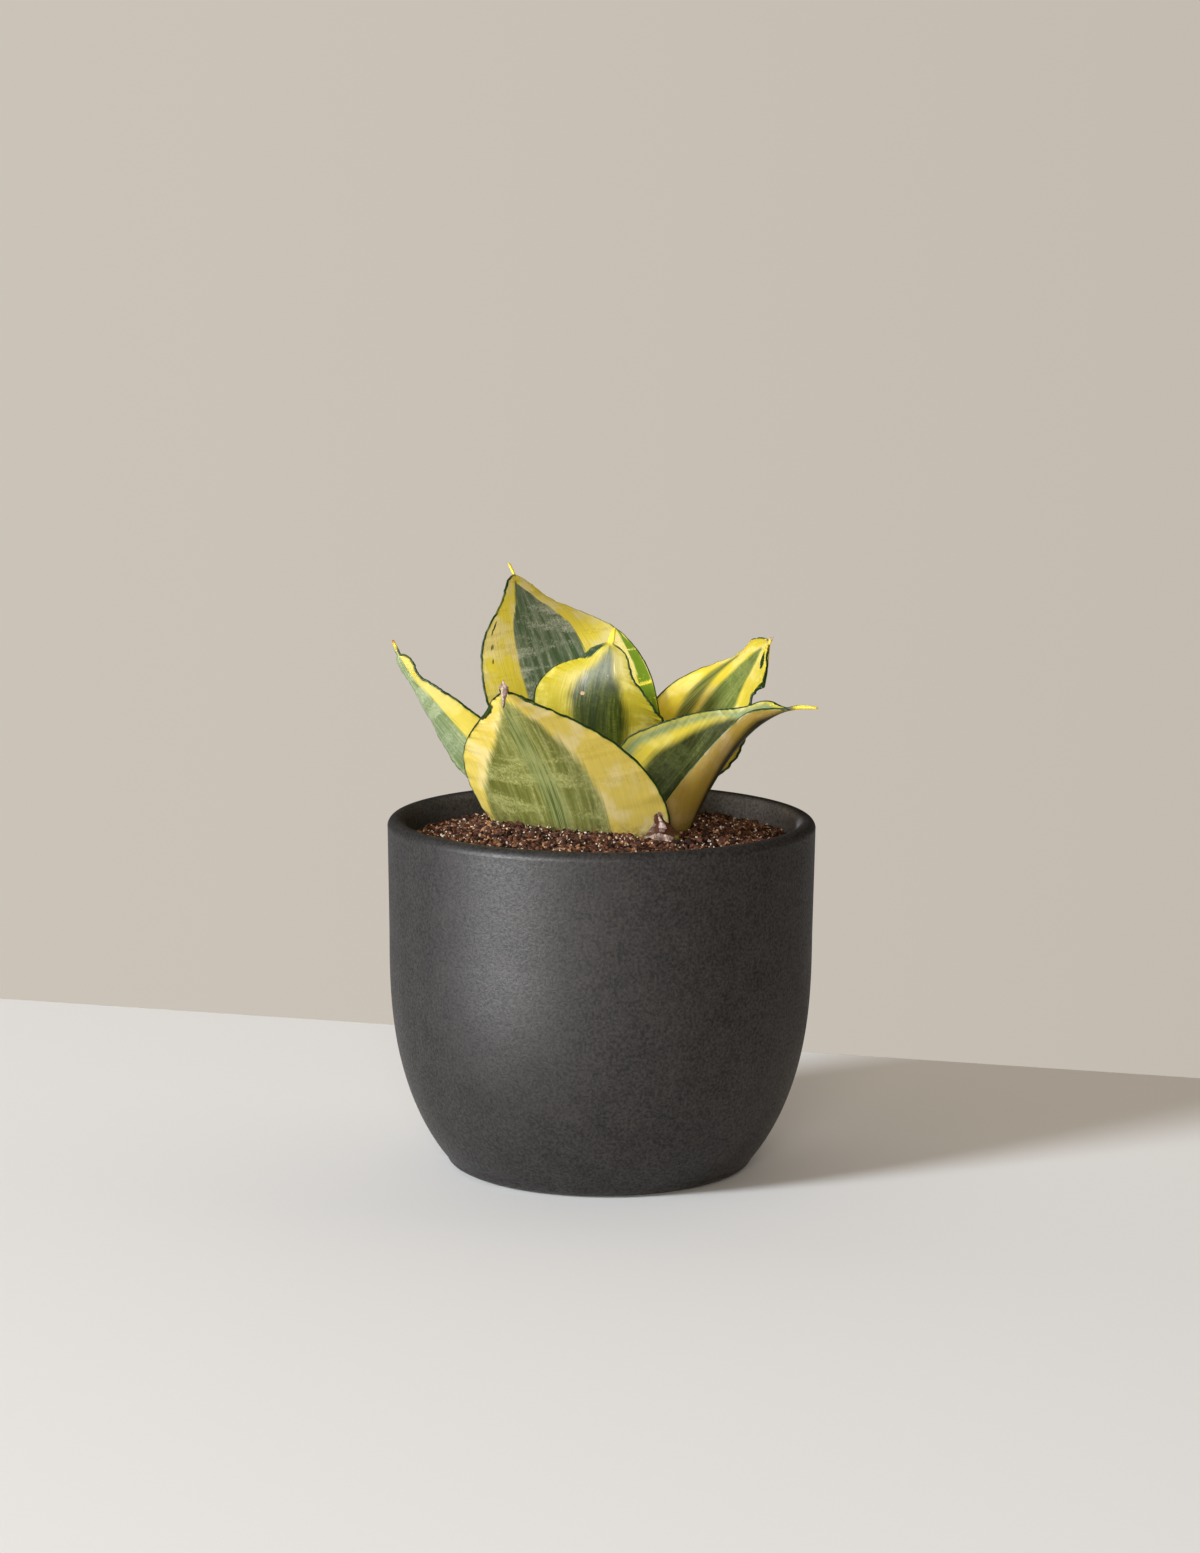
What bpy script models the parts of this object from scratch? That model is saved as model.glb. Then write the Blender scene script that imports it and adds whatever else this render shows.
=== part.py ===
"""Potted bird's-nest snake plant: six cupped leaves and a basal scale in a turned ceramic pot.

The origin is the centre of the pot's underside, +Z is up and -Y is the front. Sizes below are in
millimetres and degrees, and every mesh is made in metres.
"""

import math
from dataclasses import dataclass

import bmesh
import bpy
import numpy as np

MM = 0.001
OBJECT_NAME = "potted_snake_plant"

# Pot
POT_HEIGHT = 107.5
RIM_RADIUS = 65.0
SHOULDER_TUCK = 0.6
SHOULDER_HEIGHT = 72.0
FOOT_RADIUS = 43.5
FOOT_ROUND = 3.0
FOOT_RISE = 0.9
BELLY_POWER = 2.7
BELLY_ROUND = 1.2
WALL = 5.6
FLOOR = 7.0
FLOOR_ROUND = 6.0
LIP_ROUND = 2.8
DRAIN_RADIUS = 6.0

# Soil
SOIL_BELOW_RIM = 8.0
MOUND_RISE = 5.5
CENTRE_RISE = 6.1
MOUND_RADIUS = 26.0
SOIL_CORNER = 2.0

# Crown: the short buried stem that the leaves grow from
CROWN_X = 0.0
CROWN_Y = 5.0
CROWN_BELOW_SOIL = 11.5
CROWN_RADIUS = 32.5
CROWN_EDGE = 2.0
CROWN_CHAMFER = 7.0
CROWN_DEPTH = 16.0
STUB_RADIUS = 9.0
STUB_ROUND = 3.0
STUB_DEPTH = 30.0

# Leaves
LEAF_THICK = 2.0
MARGIN_THICK = 1.2
TIP_THICK = 1.0
TIP_THINS_OVER = 0.12
AWL_STARTS = 0.93
AWL_WIDE = 1.4
AWL_FINE = 0.5
WAIST_AT = 0.82
WAIST_LENGTH = 0.07

# Clearances
GAP = 0.3
LEAF_SPACE = 0.4
CUT_ABOVE_SOIL = 10.0

# How finely the pieces are faceted
TURNED_STEPS = 48
CROWN_STEPS = 20
BELLY_STEPS = 8
LIP_STEPS = 6
MOUND_STEPS = 4
LEAF_ROWS = 15
LEAF_COLUMNS = 8
BELOW_FOOT = -0.14

# Sizes that follow from the ones above
SHOULDER_RADIUS = RIM_RADIUS - SHOULDER_TUCK
SOIL_AT_WALL = POT_HEIGHT - SOIL_BELOW_RIM
CROWN_TOP = SOIL_AT_WALL - CROWN_BELOW_SOIL


@dataclass(frozen=True)
class Finish:
    """A material's name, its colour as linear red, green and blue, and its roughness."""

    name: str
    colour: tuple
    roughness: float


CERAMIC = Finish("charcoal_ceramic", (0.052, 0.050, 0.048), 0.62)
SOIL = Finish("potting_soil", (0.038, 0.024, 0.016), 0.95)
TISSUE = Finish("crown_tissue", (0.55, 0.52, 0.32), 0.70)
BLADE = Finish("leaf_blade", (0.42, 0.38, 0.10), 0.45)


@dataclass(frozen=True)
class LeafShape:
    """Sizes of one leaf.

    spine: points that steer the keel line from the foot to the tip, from the crown's top centre.
    half_width: keel to margin, along the blade, where the leaf is widest.
    skew: share by which the left half is wider than the right, facing the inner face.
    foot: half width at the foot as a share of half_width.
    widest_at: share of the length where the leaf is widest.
    shoulder, taper: powers that shape the blade above its widest place.
    cup: angle that the section turns from keel to margin, at the foot, the middle and the tip.
    facing: compass direction of the inner face at the foot and the tip, 0 along +X.
    roll: turn about the spine at the foot and the tip.
    wave: height of the margin's wave in millimetres, half waves along the length, phase.
    waist: share of the width taken off at WAIST_AT.
    lift: how far the inner face's compass direction tips up.
    """

    spine: tuple
    half_width: float
    skew: float
    foot: float
    widest_at: float
    shoulder: float
    taper: float
    cup: tuple
    facing: tuple
    roll: tuple
    wave: tuple
    waist: float = 0.0
    lift: float = 0.0


LEAVES = {
    "leaf_back": LeafShape(
        spine=((-4.5, 17.5, -0.5), (-5, 19.5, 39), (-21, 38.5, 74.5), (-29.5, 41.5, 91.5)),
        half_width=31, skew=0.04, foot=0.40, widest_at=0.51, shoulder=1.6, taper=0.44,
        cup=(37, 22, -11), facing=(-93, -73), roll=(-2, 66), wave=(-3.9, 3.0, -70), waist=0.2,
    ),
    "leaf_middle": LeafShape(
        spine=((1.5, 3, 0), (-6, 29, 50.5), (-2.5, 8, 50.5), (3.5, 17, 74.5)),
        half_width=21.3, skew=0.09, foot=0.18, widest_at=0.64, shoulder=1.15, taper=0.54,
        cup=(46, 25, -12), facing=(-72, -93), roll=(10, -37), wave=(3.3, 2.3, -214), waist=0.22,
    ),
    "leaf_front": LeafShape(
        spine=((-8, -12.5, -2.5), (-11.5, -22.5, 39), (-30.5, -48, 63), (-29, -48, 65.5)),
        half_width=35, skew=0.03, foot=0.68, widest_at=0.23, shoulder=1.75, taper=1.88,
        cup=(34, 21, -20), facing=(72, 82), roll=(-14, -17), wave=(0.0, 3.5, 0), waist=-0.35,
    ),
    "leaf_left": LeafShape(
        spine=((-15, 1, 0), (-27.5, -5, 30.5), (-55.5, 5.5, 49), (-64, 7, 71.5)),
        half_width=11.7, skew=-0.05, foot=0.16, widest_at=0.69, shoulder=1.7, taper=0.35,
        cup=(21, 39, 0), facing=(12, -4), roll=(22, 30), wave=(2.9, 2.95, 32), waist=0.31,
    ),
    "leaf_right_back": LeafShape(
        spine=((13, 20, -1), (16, 36.5, 35.5), (52, 32.5, 63), (52, 30, 70)),
        half_width=24.6, skew=0.26, foot=0.40, widest_at=0.44, shoulder=2.15, taper=0.53,
        cup=(39, 33, -9), facing=(-120, -135), roll=(-14, -49), wave=(4.1, 3.0, 34), waist=-0.47,
    ),
    "leaf_right_front": LeafShape(
        spine=((16, 1, 0), (26, -2, 24.5), (37, -22.5, 31.5), (38.5, -19, 57.5), (63.5, -35.5, 57.5)),
        half_width=27.8, skew=-0.24, foot=0.32, widest_at=0.33, shoulder=1.17, taper=1.16,
        cup=(91, 98, 67), facing=(-127, -168), roll=(6, -53), wave=(0.9, 3.9, -122), waist=-0.53,
        lift=0.5,
    ),
    "scale_leaf": LeafShape(
        spine=((14, -25, 0), (17, -29, 10), (20, -32, 19), (16, -33, 25)),
        half_width=8.5, skew=0.0, foot=0.70, widest_at=0.35, shoulder=1.5, taper=0.9,
        cup=(30, 30, 15), facing=(95, 95), roll=(0, 0), wave=(0.8, 3.0, 0),
    ),
}


def clear_scene():
    """Remove the startup objects."""
    for old in list(bpy.data.objects):
        bpy.data.objects.remove(old, do_unlink=True)


def new_collection(name):
    """Make a collection in the scene."""
    made = bpy.data.collections.new(name)
    bpy.context.scene.collection.children.link(made)
    return made


def material(finish):
    """Give the material for a finish, made once."""
    made = bpy.data.materials.get(finish.name)
    if made is None:
        made = bpy.data.materials.new(finish.name)
        made.use_nodes = True
        shader = made.node_tree.nodes["Principled BSDF"]
        shader.inputs["Base Color"].default_value = (*finish.colour, 1.0)
        shader.inputs["Roughness"].default_value = finish.roughness
        shader.inputs["Metallic"].default_value = 0.0
    return made


def add_object(name, mesh, finish, place, group):
    """Make an object from a mesh at a place in millimetres, in a collection."""
    if finish is not None:
        mesh.materials.append(material(finish))
    made = bpy.data.objects.new(name, mesh)
    made.location = [value * MM for value in place]
    group.objects.link(made)
    return made


def turned(name, profile, steps, finish, place, group):
    """Turn a profile about the vertical with a Screw modifier.

    The profile is a list of (radius, height) points that runs up its outer side. One that starts
    off the axis is closed into a ring. The Screw needs it running down its outer side.
    """
    points = [(radius * MM, 0.0, height * MM) for radius, height in reversed(profile)]
    edges = [(i, i + 1) for i in range(len(points) - 1)]
    if profile[0][0] > 0:
        edges.append((len(points) - 1, 0))
    mesh = bpy.data.meshes.new(name)
    mesh.from_pydata(points, edges, [])
    made = add_object(name, mesh, finish, place, group)
    screw = made.modifiers.new("turn", "SCREW")
    screw.steps = steps
    screw.render_steps = steps
    screw.use_merge_vertices = True
    screw.merge_threshold = 0.02 * MM
    made.modifiers.new("triangles", "TRIANGULATE")
    return made


def outer_radius(z):
    """The pot's outer radius at a height below the lip."""
    if z >= SHOULDER_HEIGHT:
        share = (z - SHOULDER_HEIGHT) / (POT_HEIGHT - SHOULDER_HEIGHT)
        return SHOULDER_RADIUS + (RIM_RADIUS - SHOULDER_RADIUS) * share
    bulge = 1 - (1 - z / SHOULDER_HEIGHT) ** BELLY_POWER
    return FOOT_RADIUS + (SHOULDER_RADIUS - FOOT_RADIUS) * bulge ** (1 / BELLY_ROUND)


def inner_radius(z):
    """The pot's inner radius at a height above its floor."""
    return outer_radius(max(z, FLOOR)) - WALL


def wall_heights(low, high):
    """Heights at which the wall's section has a point, closer together near the foot."""
    belly = [SHOULDER_HEIGHT * (k / BELLY_STEPS) ** 1.5 for k in range(1, BELLY_STEPS + 1)]
    upper = (SHOULDER_HEIGHT + POT_HEIGHT - LIP_ROUND) / 2
    return [z for z in belly + [upper] if low < z < high]


def lip():
    """The rounded lip from its outer to its inner side, as (radius, height) points."""
    half_wall = WALL / 2
    low = POT_HEIGHT - LIP_ROUND
    turns = [math.pi * i / LIP_STEPS for i in range(LIP_STEPS + 1)]
    return [
        (RIM_RADIUS - half_wall + half_wall * math.cos(turn), low + LIP_ROUND * math.sin(turn))
        for turn in turns
    ]


def pot_profile():
    """The pot's section: drain hole, flat underside, belly, lip, inner wall and floor."""
    low = POT_HEIGHT - LIP_ROUND
    underside = [(DRAIN_RADIUS, 0.0), (FOOT_RADIUS - FOOT_ROUND, 0.0)]
    foot = [(outer_radius(FOOT_RISE) - FOOT_ROUND / 4, FOOT_RISE)]
    outside = [(outer_radius(z), z) for z in wall_heights(FOOT_RISE, low)]
    inside = [(inner_radius(z), z) for z in reversed(wall_heights(FLOOR + FLOOR_ROUND, low))]
    floor = [(FOOT_RADIUS - WALL, FLOOR), (DRAIN_RADIUS, FLOOR)]
    return underside + foot + outside + lip() + inside + floor


def soil_profile():
    """The soil's section, a gap inside the pot's wall and floor, with a low mound on top.

    The top rises from the wall to the mound by a half wave, and from there to the centre.
    """
    edge = inner_radius(SOIL_AT_WALL) - GAP
    bottom = [(0.0, FLOOR + GAP), (FOOT_RADIUS - WALL - SOIL_CORNER, FLOOR + GAP)]
    side = [(inner_radius(z) - GAP, z) for z in wall_heights(FLOOR + FLOOR_ROUND, SOIL_AT_WALL)]
    top = []
    for share in np.linspace(0, 1, MOUND_STEPS + 1):
        rise = 0.5 - 0.5 * math.cos(math.pi * share)
        top.append((edge + (MOUND_RADIUS - edge) * share, SOIL_AT_WALL + MOUND_RISE * rise))
    top.append((MOUND_RADIUS / 2, SOIL_AT_WALL + (MOUND_RISE + CENTRE_RISE) / 2))
    top.append((0.0, SOIL_AT_WALL + CENTRE_RISE))
    return bottom + side + top


def crown_profile(grow=0.0):
    """The crown's section below its flat top: a straight edge, a taper and a short stub."""
    return [
        (0.0, -STUB_DEPTH - grow),
        (STUB_RADIUS - STUB_ROUND + grow, -STUB_DEPTH - grow),
        (STUB_RADIUS + grow, -STUB_DEPTH + STUB_ROUND),
        (STUB_RADIUS + grow, -CROWN_DEPTH),
        (CROWN_RADIUS - CROWN_CHAMFER + grow, -CROWN_CHAMFER),
        (CROWN_RADIUS + grow, -CROWN_EDGE),
        (CROWN_RADIUS + grow, grow),
        (0.0, grow),
    ]


def bernstein(degree, t):
    """Bernstein polynomials of one degree at every t, one column each."""
    terms = [math.comb(degree, i) * t**i * (1 - t) ** (degree - i) for i in range(degree + 1)]
    return np.stack(terms, -1)


def unit(rows):
    """Rows scaled to length one."""
    return rows / np.linalg.norm(rows, axis=-1, keepdims=True)


def half_widths(leaf, t):
    """Half width along the length: foot, widest place, shoulder, taper and the awl at the tip."""
    share = np.clip(t / AWL_STARTS, 0, 1)
    rising = leaf.foot + (1 - leaf.foot) * np.sin(np.pi / 2 * np.clip(share / leaf.widest_at, 0, 1))
    above = np.clip((share - leaf.widest_at) / (1 - leaf.widest_at), 0, 1)
    falling = np.clip(1 - above**leaf.shoulder, 1e-4, 1) ** leaf.taper
    waist = 1 - leaf.waist * np.exp(-(((t - WAIST_AT) / WAIST_LENGTH) ** 2))
    blade = leaf.half_width * np.where(share < leaf.widest_at, rising, falling) * waist
    awl = AWL_FINE + (AWL_WIDE - AWL_FINE) * np.clip((1 - t) / (1 - AWL_STARTS), 0, 1)
    return np.maximum(blade, awl)


def leaf_surface(leaf, t, s):
    """Middle surface of a leaf, in millimetres, at lengthwise shares t and crosswise shares s.

    The section is an arc that turns by the cup angle from the keel to each margin. It is set
    square to the spine, faces the compass direction given, and its margins wave up and down.
    """
    points = np.array(leaf.spine, float)
    degree = len(points) - 1
    keel = bernstein(degree, t) @ points
    along = unit(degree * bernstein(degree - 1, t) @ np.diff(points, axis=0))
    compass = np.radians(leaf.facing[0] + (leaf.facing[1] - leaf.facing[0]) * t)
    front = np.stack([np.cos(compass), np.sin(compass), np.full_like(t, leaf.lift)], -1)
    front = unit(front - (front * along).sum(-1, keepdims=True) * along)
    side = np.cross(along, front)
    roll = np.radians(leaf.roll[0] + (leaf.roll[1] - leaf.roll[0]) * t)[:, None]
    inward = front * np.cos(roll) + side * np.sin(roll)
    across = side * np.cos(roll) - front * np.sin(roll)
    cup = np.radians(np.maximum(bernstein(2, t) @ np.array(leaf.cup, float), 1.0))[:, None]
    reach = half_widths(leaf, t)[:, None] * (1 + leaf.skew * s)
    sideways = reach * np.sin(cup * s) / cup
    depth = reach * (1 - np.cos(cup * s)) / cup
    height, count, phase = leaf.wave
    lengthwise = np.sin(np.pi * count * t + math.radians(phase)) * np.sin(np.pi * t)
    depth = depth + height * lengthwise[:, None] * np.sign(s) * s**2
    return keel[:, None] + across[:, None] * sideways[..., None] + inward[:, None] * depth[..., None]


def leaf_sides(leaf, grow):
    """Points of a leaf's two faces, either side of its middle surface, grown all round."""
    t = BELOW_FOOT + (1 - BELOW_FOOT) * np.sin(np.linspace(0, np.pi / 2, LEAF_ROWS))
    s = np.linspace(-1, 1, LEAF_COLUMNS + 1)
    middle = leaf_surface(leaf, t, s * (1 + grow / half_widths(leaf, t)[:, None]))
    normal = unit(np.cross(np.gradient(middle, axis=0), np.gradient(middle, axis=1)))
    thick = MARGIN_THICK + (LEAF_THICK - MARGIN_THICK) * (1 - np.abs(s) ** 3)
    near_tip = np.clip((1 - t) / TIP_THINS_OVER, 0, 1)[:, None] ** 0.5
    offset = (TIP_THICK + (thick - TIP_THICK) * near_tip) / 2 + grow
    return middle + offset[..., None] * normal, middle - offset[..., None] * normal


def close_faces(shell, sides):
    """Join two grids of points into a closed skin: both faces, both margins and both ends."""
    front, back = [[[shell.verts.new(p * MM) for p in row] for row in side] for side in sides]
    strips = list(zip(front, front[1:])) + list(zip(back, back[1:]))
    strips += [([row[k] for row in front], [row[k] for row in back]) for k in (0, -1)]
    strips += [(front[k], back[k]) for k in (0, -1)]
    for near, far in strips:
        for corners in zip(near, near[1:], far[1:], far):
            shell.faces.new(corners)


def trim_below(shell, height):
    """Cut a shell off flat below a height and close the cut."""
    cut = bmesh.ops.bisect_plane(
        shell,
        geom=list(shell.verts) + list(shell.edges) + list(shell.faces),
        plane_co=(0, 0, height * MM),
        plane_no=(0, 0, 1),
        clear_inner=True,
    )
    rim = [piece for piece in cut["geom_cut"] if isinstance(piece, bmesh.types.BMEdge)]
    bmesh.ops.contextual_create(shell, geom=rim)


def leaf_mesh(name, sides, foot):
    """Close a leaf's two faces into a solid whose foot is trimmed flat."""
    shell = bmesh.new()
    close_faces(shell, sides)
    trim_below(shell, foot)
    bmesh.ops.triangulate(shell, faces=shell.faces, quad_method="FIXED", ngon_method="EAR_CLIP")
    bmesh.ops.recalc_face_normals(shell, faces=shell.faces)
    mesh = bpy.data.meshes.new(name)
    shell.to_mesh(mesh)
    shell.free()
    mesh.shade_smooth()
    mesh.set_sharp_from_angle(angle=math.radians(40))
    return mesh


def add_leaf(name, leaf, group):
    """A leaf that stands a gap above the crown's top."""
    mesh = leaf_mesh(name, leaf_sides(leaf, 0.0), GAP)
    return add_object(name, mesh, BLADE, (CROWN_X, CROWN_Y, CROWN_TOP), group)


def add_leaf_space(name, leaf, group):
    """The space that a leaf needs in the soil, from below the crown's top to above the ground."""
    sides = leaf_sides(leaf, LEAF_SPACE)
    lowest = np.minimum(sides[0][..., 2], sides[1][..., 2]).min(axis=1)
    rows = int(np.argmax(lowest > CROWN_BELOW_SOIL + CUT_ABOVE_SOIL)) + 1
    mesh = leaf_mesh(name, [side[:rows] for side in sides], -GAP)
    return add_object(name, mesh, None, (CROWN_X, CROWN_Y, CROWN_TOP), group)


def cut_away(body, cutters):
    """Take each cutter out of the body with a Boolean modifier."""
    for cutter in cutters:
        cutter.hide_render = True
        cutter.display_type = "WIRE"
        carve = body.modifiers.new("cut_" + cutter.name, "BOOLEAN")
        carve.operation = "DIFFERENCE"
        carve.solver = "EXACT"
        carve.object = cutter


def main():
    """Build every piece in place."""
    clear_scene()
    parts = new_collection(OBJECT_NAME)
    spaces = new_collection("cutters")
    crown_place = (CROWN_X, CROWN_Y, CROWN_TOP)
    turned("pot", pot_profile(), TURNED_STEPS, CERAMIC, (0, 0, 0), parts)
    turned("crown", crown_profile(), CROWN_STEPS, TISSUE, crown_place, parts)
    cutters = [turned("crown_space", crown_profile(GAP), CROWN_STEPS, None, crown_place, spaces)]
    for name, leaf in LEAVES.items():
        add_leaf(name, leaf, parts)
        cutters.append(add_leaf_space(name + "_space", leaf, spaces))
    soil = turned("soil", soil_profile(), TURNED_STEPS, SOIL, (0, 0, 0), parts)
    cut_away(soil, cutters)


main()
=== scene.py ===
"""Looks for a potted bird's-nest snake plant: a matt ceramic pot, loose potting mix, variegated leaves.

Each class builds one sub-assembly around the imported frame. Sizes are in millimetres and degrees, meshes
are made in metres, +Z is up and -Y is the front. Along a leaf, `t` runs from the foot to the tip and
`s` from one margin (-1) over the keel (0) to the other margin (1).
"""

import logging
import math
from dataclasses import dataclass, field
from enum import Enum
from typing import Any, Mapping, Sequence

import bpy
import numpy as np
from bpy.types import Material, Mesh, Node, NodeSocket, NodeTree, Object
from mathutils import Matrix, Vector


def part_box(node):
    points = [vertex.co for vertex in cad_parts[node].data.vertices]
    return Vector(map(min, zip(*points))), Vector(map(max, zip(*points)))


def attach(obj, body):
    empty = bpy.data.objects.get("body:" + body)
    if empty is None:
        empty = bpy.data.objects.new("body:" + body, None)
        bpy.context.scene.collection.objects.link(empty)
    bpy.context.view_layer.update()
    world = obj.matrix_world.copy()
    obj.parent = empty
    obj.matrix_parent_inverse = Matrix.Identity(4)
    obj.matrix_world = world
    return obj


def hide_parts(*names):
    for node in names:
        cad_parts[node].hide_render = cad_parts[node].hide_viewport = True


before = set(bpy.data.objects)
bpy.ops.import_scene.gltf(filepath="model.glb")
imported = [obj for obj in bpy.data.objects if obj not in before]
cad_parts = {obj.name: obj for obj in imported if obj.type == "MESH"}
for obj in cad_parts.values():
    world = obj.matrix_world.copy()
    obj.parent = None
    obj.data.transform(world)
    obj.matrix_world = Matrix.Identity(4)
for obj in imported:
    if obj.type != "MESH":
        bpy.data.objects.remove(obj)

Array = np.ndarray
Rgba = tuple[float, ...]

LOG = logging.getLogger("snake_plant")
MM = 0.001
BODY = "root"
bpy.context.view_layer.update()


class Slot(Enum):
    """The record's material slots."""

    POT = "pot_ceramic"
    SOIL = "potting_soil"
    CROWN = "crown_tissue"
    LEAF = "leaf_blade"


# Meshes


def make_mesh(name: str, points: Array, faces: Sequence[Array], smooth: bool = True) -> Mesh:
    """Put whole arrays of points and faces into a new mesh.

    Args:
        name: name of the mesh.
        points: one row of x, y, z in millimetres for each vertex.
        faces: arrays of vertex numbers, one face a row; each array holds faces of one corner count.
        smooth: whether the faces are shaded smooth.

    Returns:
        The mesh, in metres.
    """
    corners = np.concatenate([part.ravel() for part in faces]).astype(np.int32)
    counts = np.concatenate([np.full(len(part), part.shape[1]) for part in faces])
    starts = np.concatenate([[0], np.cumsum(counts)[:-1]]).astype(np.int32)
    mesh = bpy.data.meshes.new(name)
    mesh.vertices.add(len(points))
    mesh.vertices.foreach_set("co", (points * MM).astype(np.float32).ravel())
    mesh.loops.add(len(corners))
    mesh.loops.foreach_set("vertex_index", corners)
    mesh.polygons.add(len(counts))
    mesh.polygons.foreach_set("loop_start", starts)
    mesh.polygons.foreach_set("use_smooth", np.full(len(counts), smooth))
    mesh.update(calc_edges=True)
    return mesh


def grid_faces(rows: int, columns: int, wrap_rows: bool = False, wrap_columns: bool = False) -> Array:
    """Give the four corners of every cell of a grid of vertices numbered row by row.

    Args:
        rows: number of rows of vertices.
        columns: number of vertices in a row.
        wrap_rows: whether the last row joins the first.
        wrap_columns: whether each row closes into a ring.

    Returns:
        Vertex numbers, four a row.
    """
    row = np.arange(rows if wrap_rows else rows - 1)[:, None]
    column = np.arange(columns if wrap_columns else columns - 1)[None, :]
    next_row = (row + 1) % rows
    next_column = (column + 1) % columns
    cells = [row * columns + column, row * columns + next_column]
    cells += [next_row * columns + next_column, next_row * columns + column]
    return np.stack(np.broadcast_arrays(*cells), -1).reshape(-1, 4)


def add_attribute(mesh: Mesh, name: str, values: Array) -> None:
    """Store one vector for each vertex under a name that materials read."""
    layer = mesh.attributes.new(name, "FLOAT_VECTOR", "POINT")
    layer.data.foreach_set("vector", np.ascontiguousarray(values, dtype=np.float32).ravel())


def new_object(name: str, data: Any) -> Object:
    """Put a mesh, a light or a camera into the scene."""
    made = bpy.data.objects.new(name, data)
    bpy.context.scene.collection.objects.link(made)
    return made


def add_piece(
    name: str, mesh: Mesh, material: Material, stands_for: Sequence[str] = ()
) -> Object:
    """Make a piece at the origin, ride it on the body and dress it.

    Args:
        name: name of the piece.
        mesh: its mesh, already in place.
        material: its finish.
        stands_for: CAD nodes that the piece replaces.

    Returns:
        The new object.
    """
    piece = new_object(name, mesh)
    mesh.materials.append(material)
    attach(piece, BODY)
    if stands_for:
        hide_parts(*stands_for)
    LOG.info("%s: %d vertices, %d faces", name, len(mesh.vertices), len(mesh.polygons))
    return piece


def dress_node(name: str, material: Material, slot: Slot) -> None:
    """Give a CAD node a new material in its slots."""
    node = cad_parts[name]
    node.data.materials.clear()
    node.data.materials.append(material)
    LOG.info("%s: kept from the frame, dressed as %s", name, slot.value)


def unit(rows: Array) -> Array:
    """Scale vectors to length one."""
    return rows / np.maximum(np.linalg.norm(rows, axis=-1, keepdims=True), 1e-12)


def normals(points: Array) -> Array:
    """Unit normals of a grid of points: the cross product of its slopes along both ways."""
    return unit(np.cross(np.gradient(points, axis=0), np.gradient(points, axis=1)))


def smooth_step(value: Array, low: float, high: float) -> Array:
    """Rise from 0 at low to 1 at high along 3x^2 - 2x^3."""
    x = np.clip((value - low) / (high - low), 0, 1)
    return x * x * (3 - 2 * x)


def bernstein(degree: int, t: Array) -> Array:
    """Bernstein polynomials of one degree at every t, along a new last axis."""
    terms = [math.comb(degree, i) * t**i * (1 - t) ** (degree - i) for i in range(degree + 1)]
    return np.stack(terms, -1)


def turns_about(axis: int, angle: Array) -> Array:
    """Matrices that turn row vectors about one axis: cosines on the diagonal, sines beside it."""
    turns = np.tile(np.eye(3), (len(angle), 1, 1))
    first, second = (axis + 1) % 3, (axis + 2) % 3
    turns[:, first, first] = turns[:, second, second] = np.cos(angle)
    turns[:, first, second] = np.sin(angle)
    turns[:, second, first] = -np.sin(angle)
    return turns


def ripple(x: Array, seed: int, waves: int = 5) -> Array:
    """Uneven wave between about -1 and 1: a sum of sines whose pitches and phases come from the seed."""
    draw = np.random.default_rng(seed)
    total = np.zeros_like(x)
    for k in range(waves):
        total = total + np.sin(x * draw.uniform(0.6, 1.6) * (k + 1) + draw.uniform(0, 2 * np.pi)) / (k + 1)
    return total / 1.6


# Shader nodes


def colour(red: int, green: int, blue: int) -> Rgba:
    """Turn a display colour of 0 to 255 into linear light, with full alpha."""
    shares = np.array([red, green, blue]) / 255
    linear = np.where(shares <= 0.04045, shares / 12.92, ((shares + 0.055) / 1.055) ** 2.4)
    return (float(linear[0]), float(linear[1]), float(linear[2]), 1.0)


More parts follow.
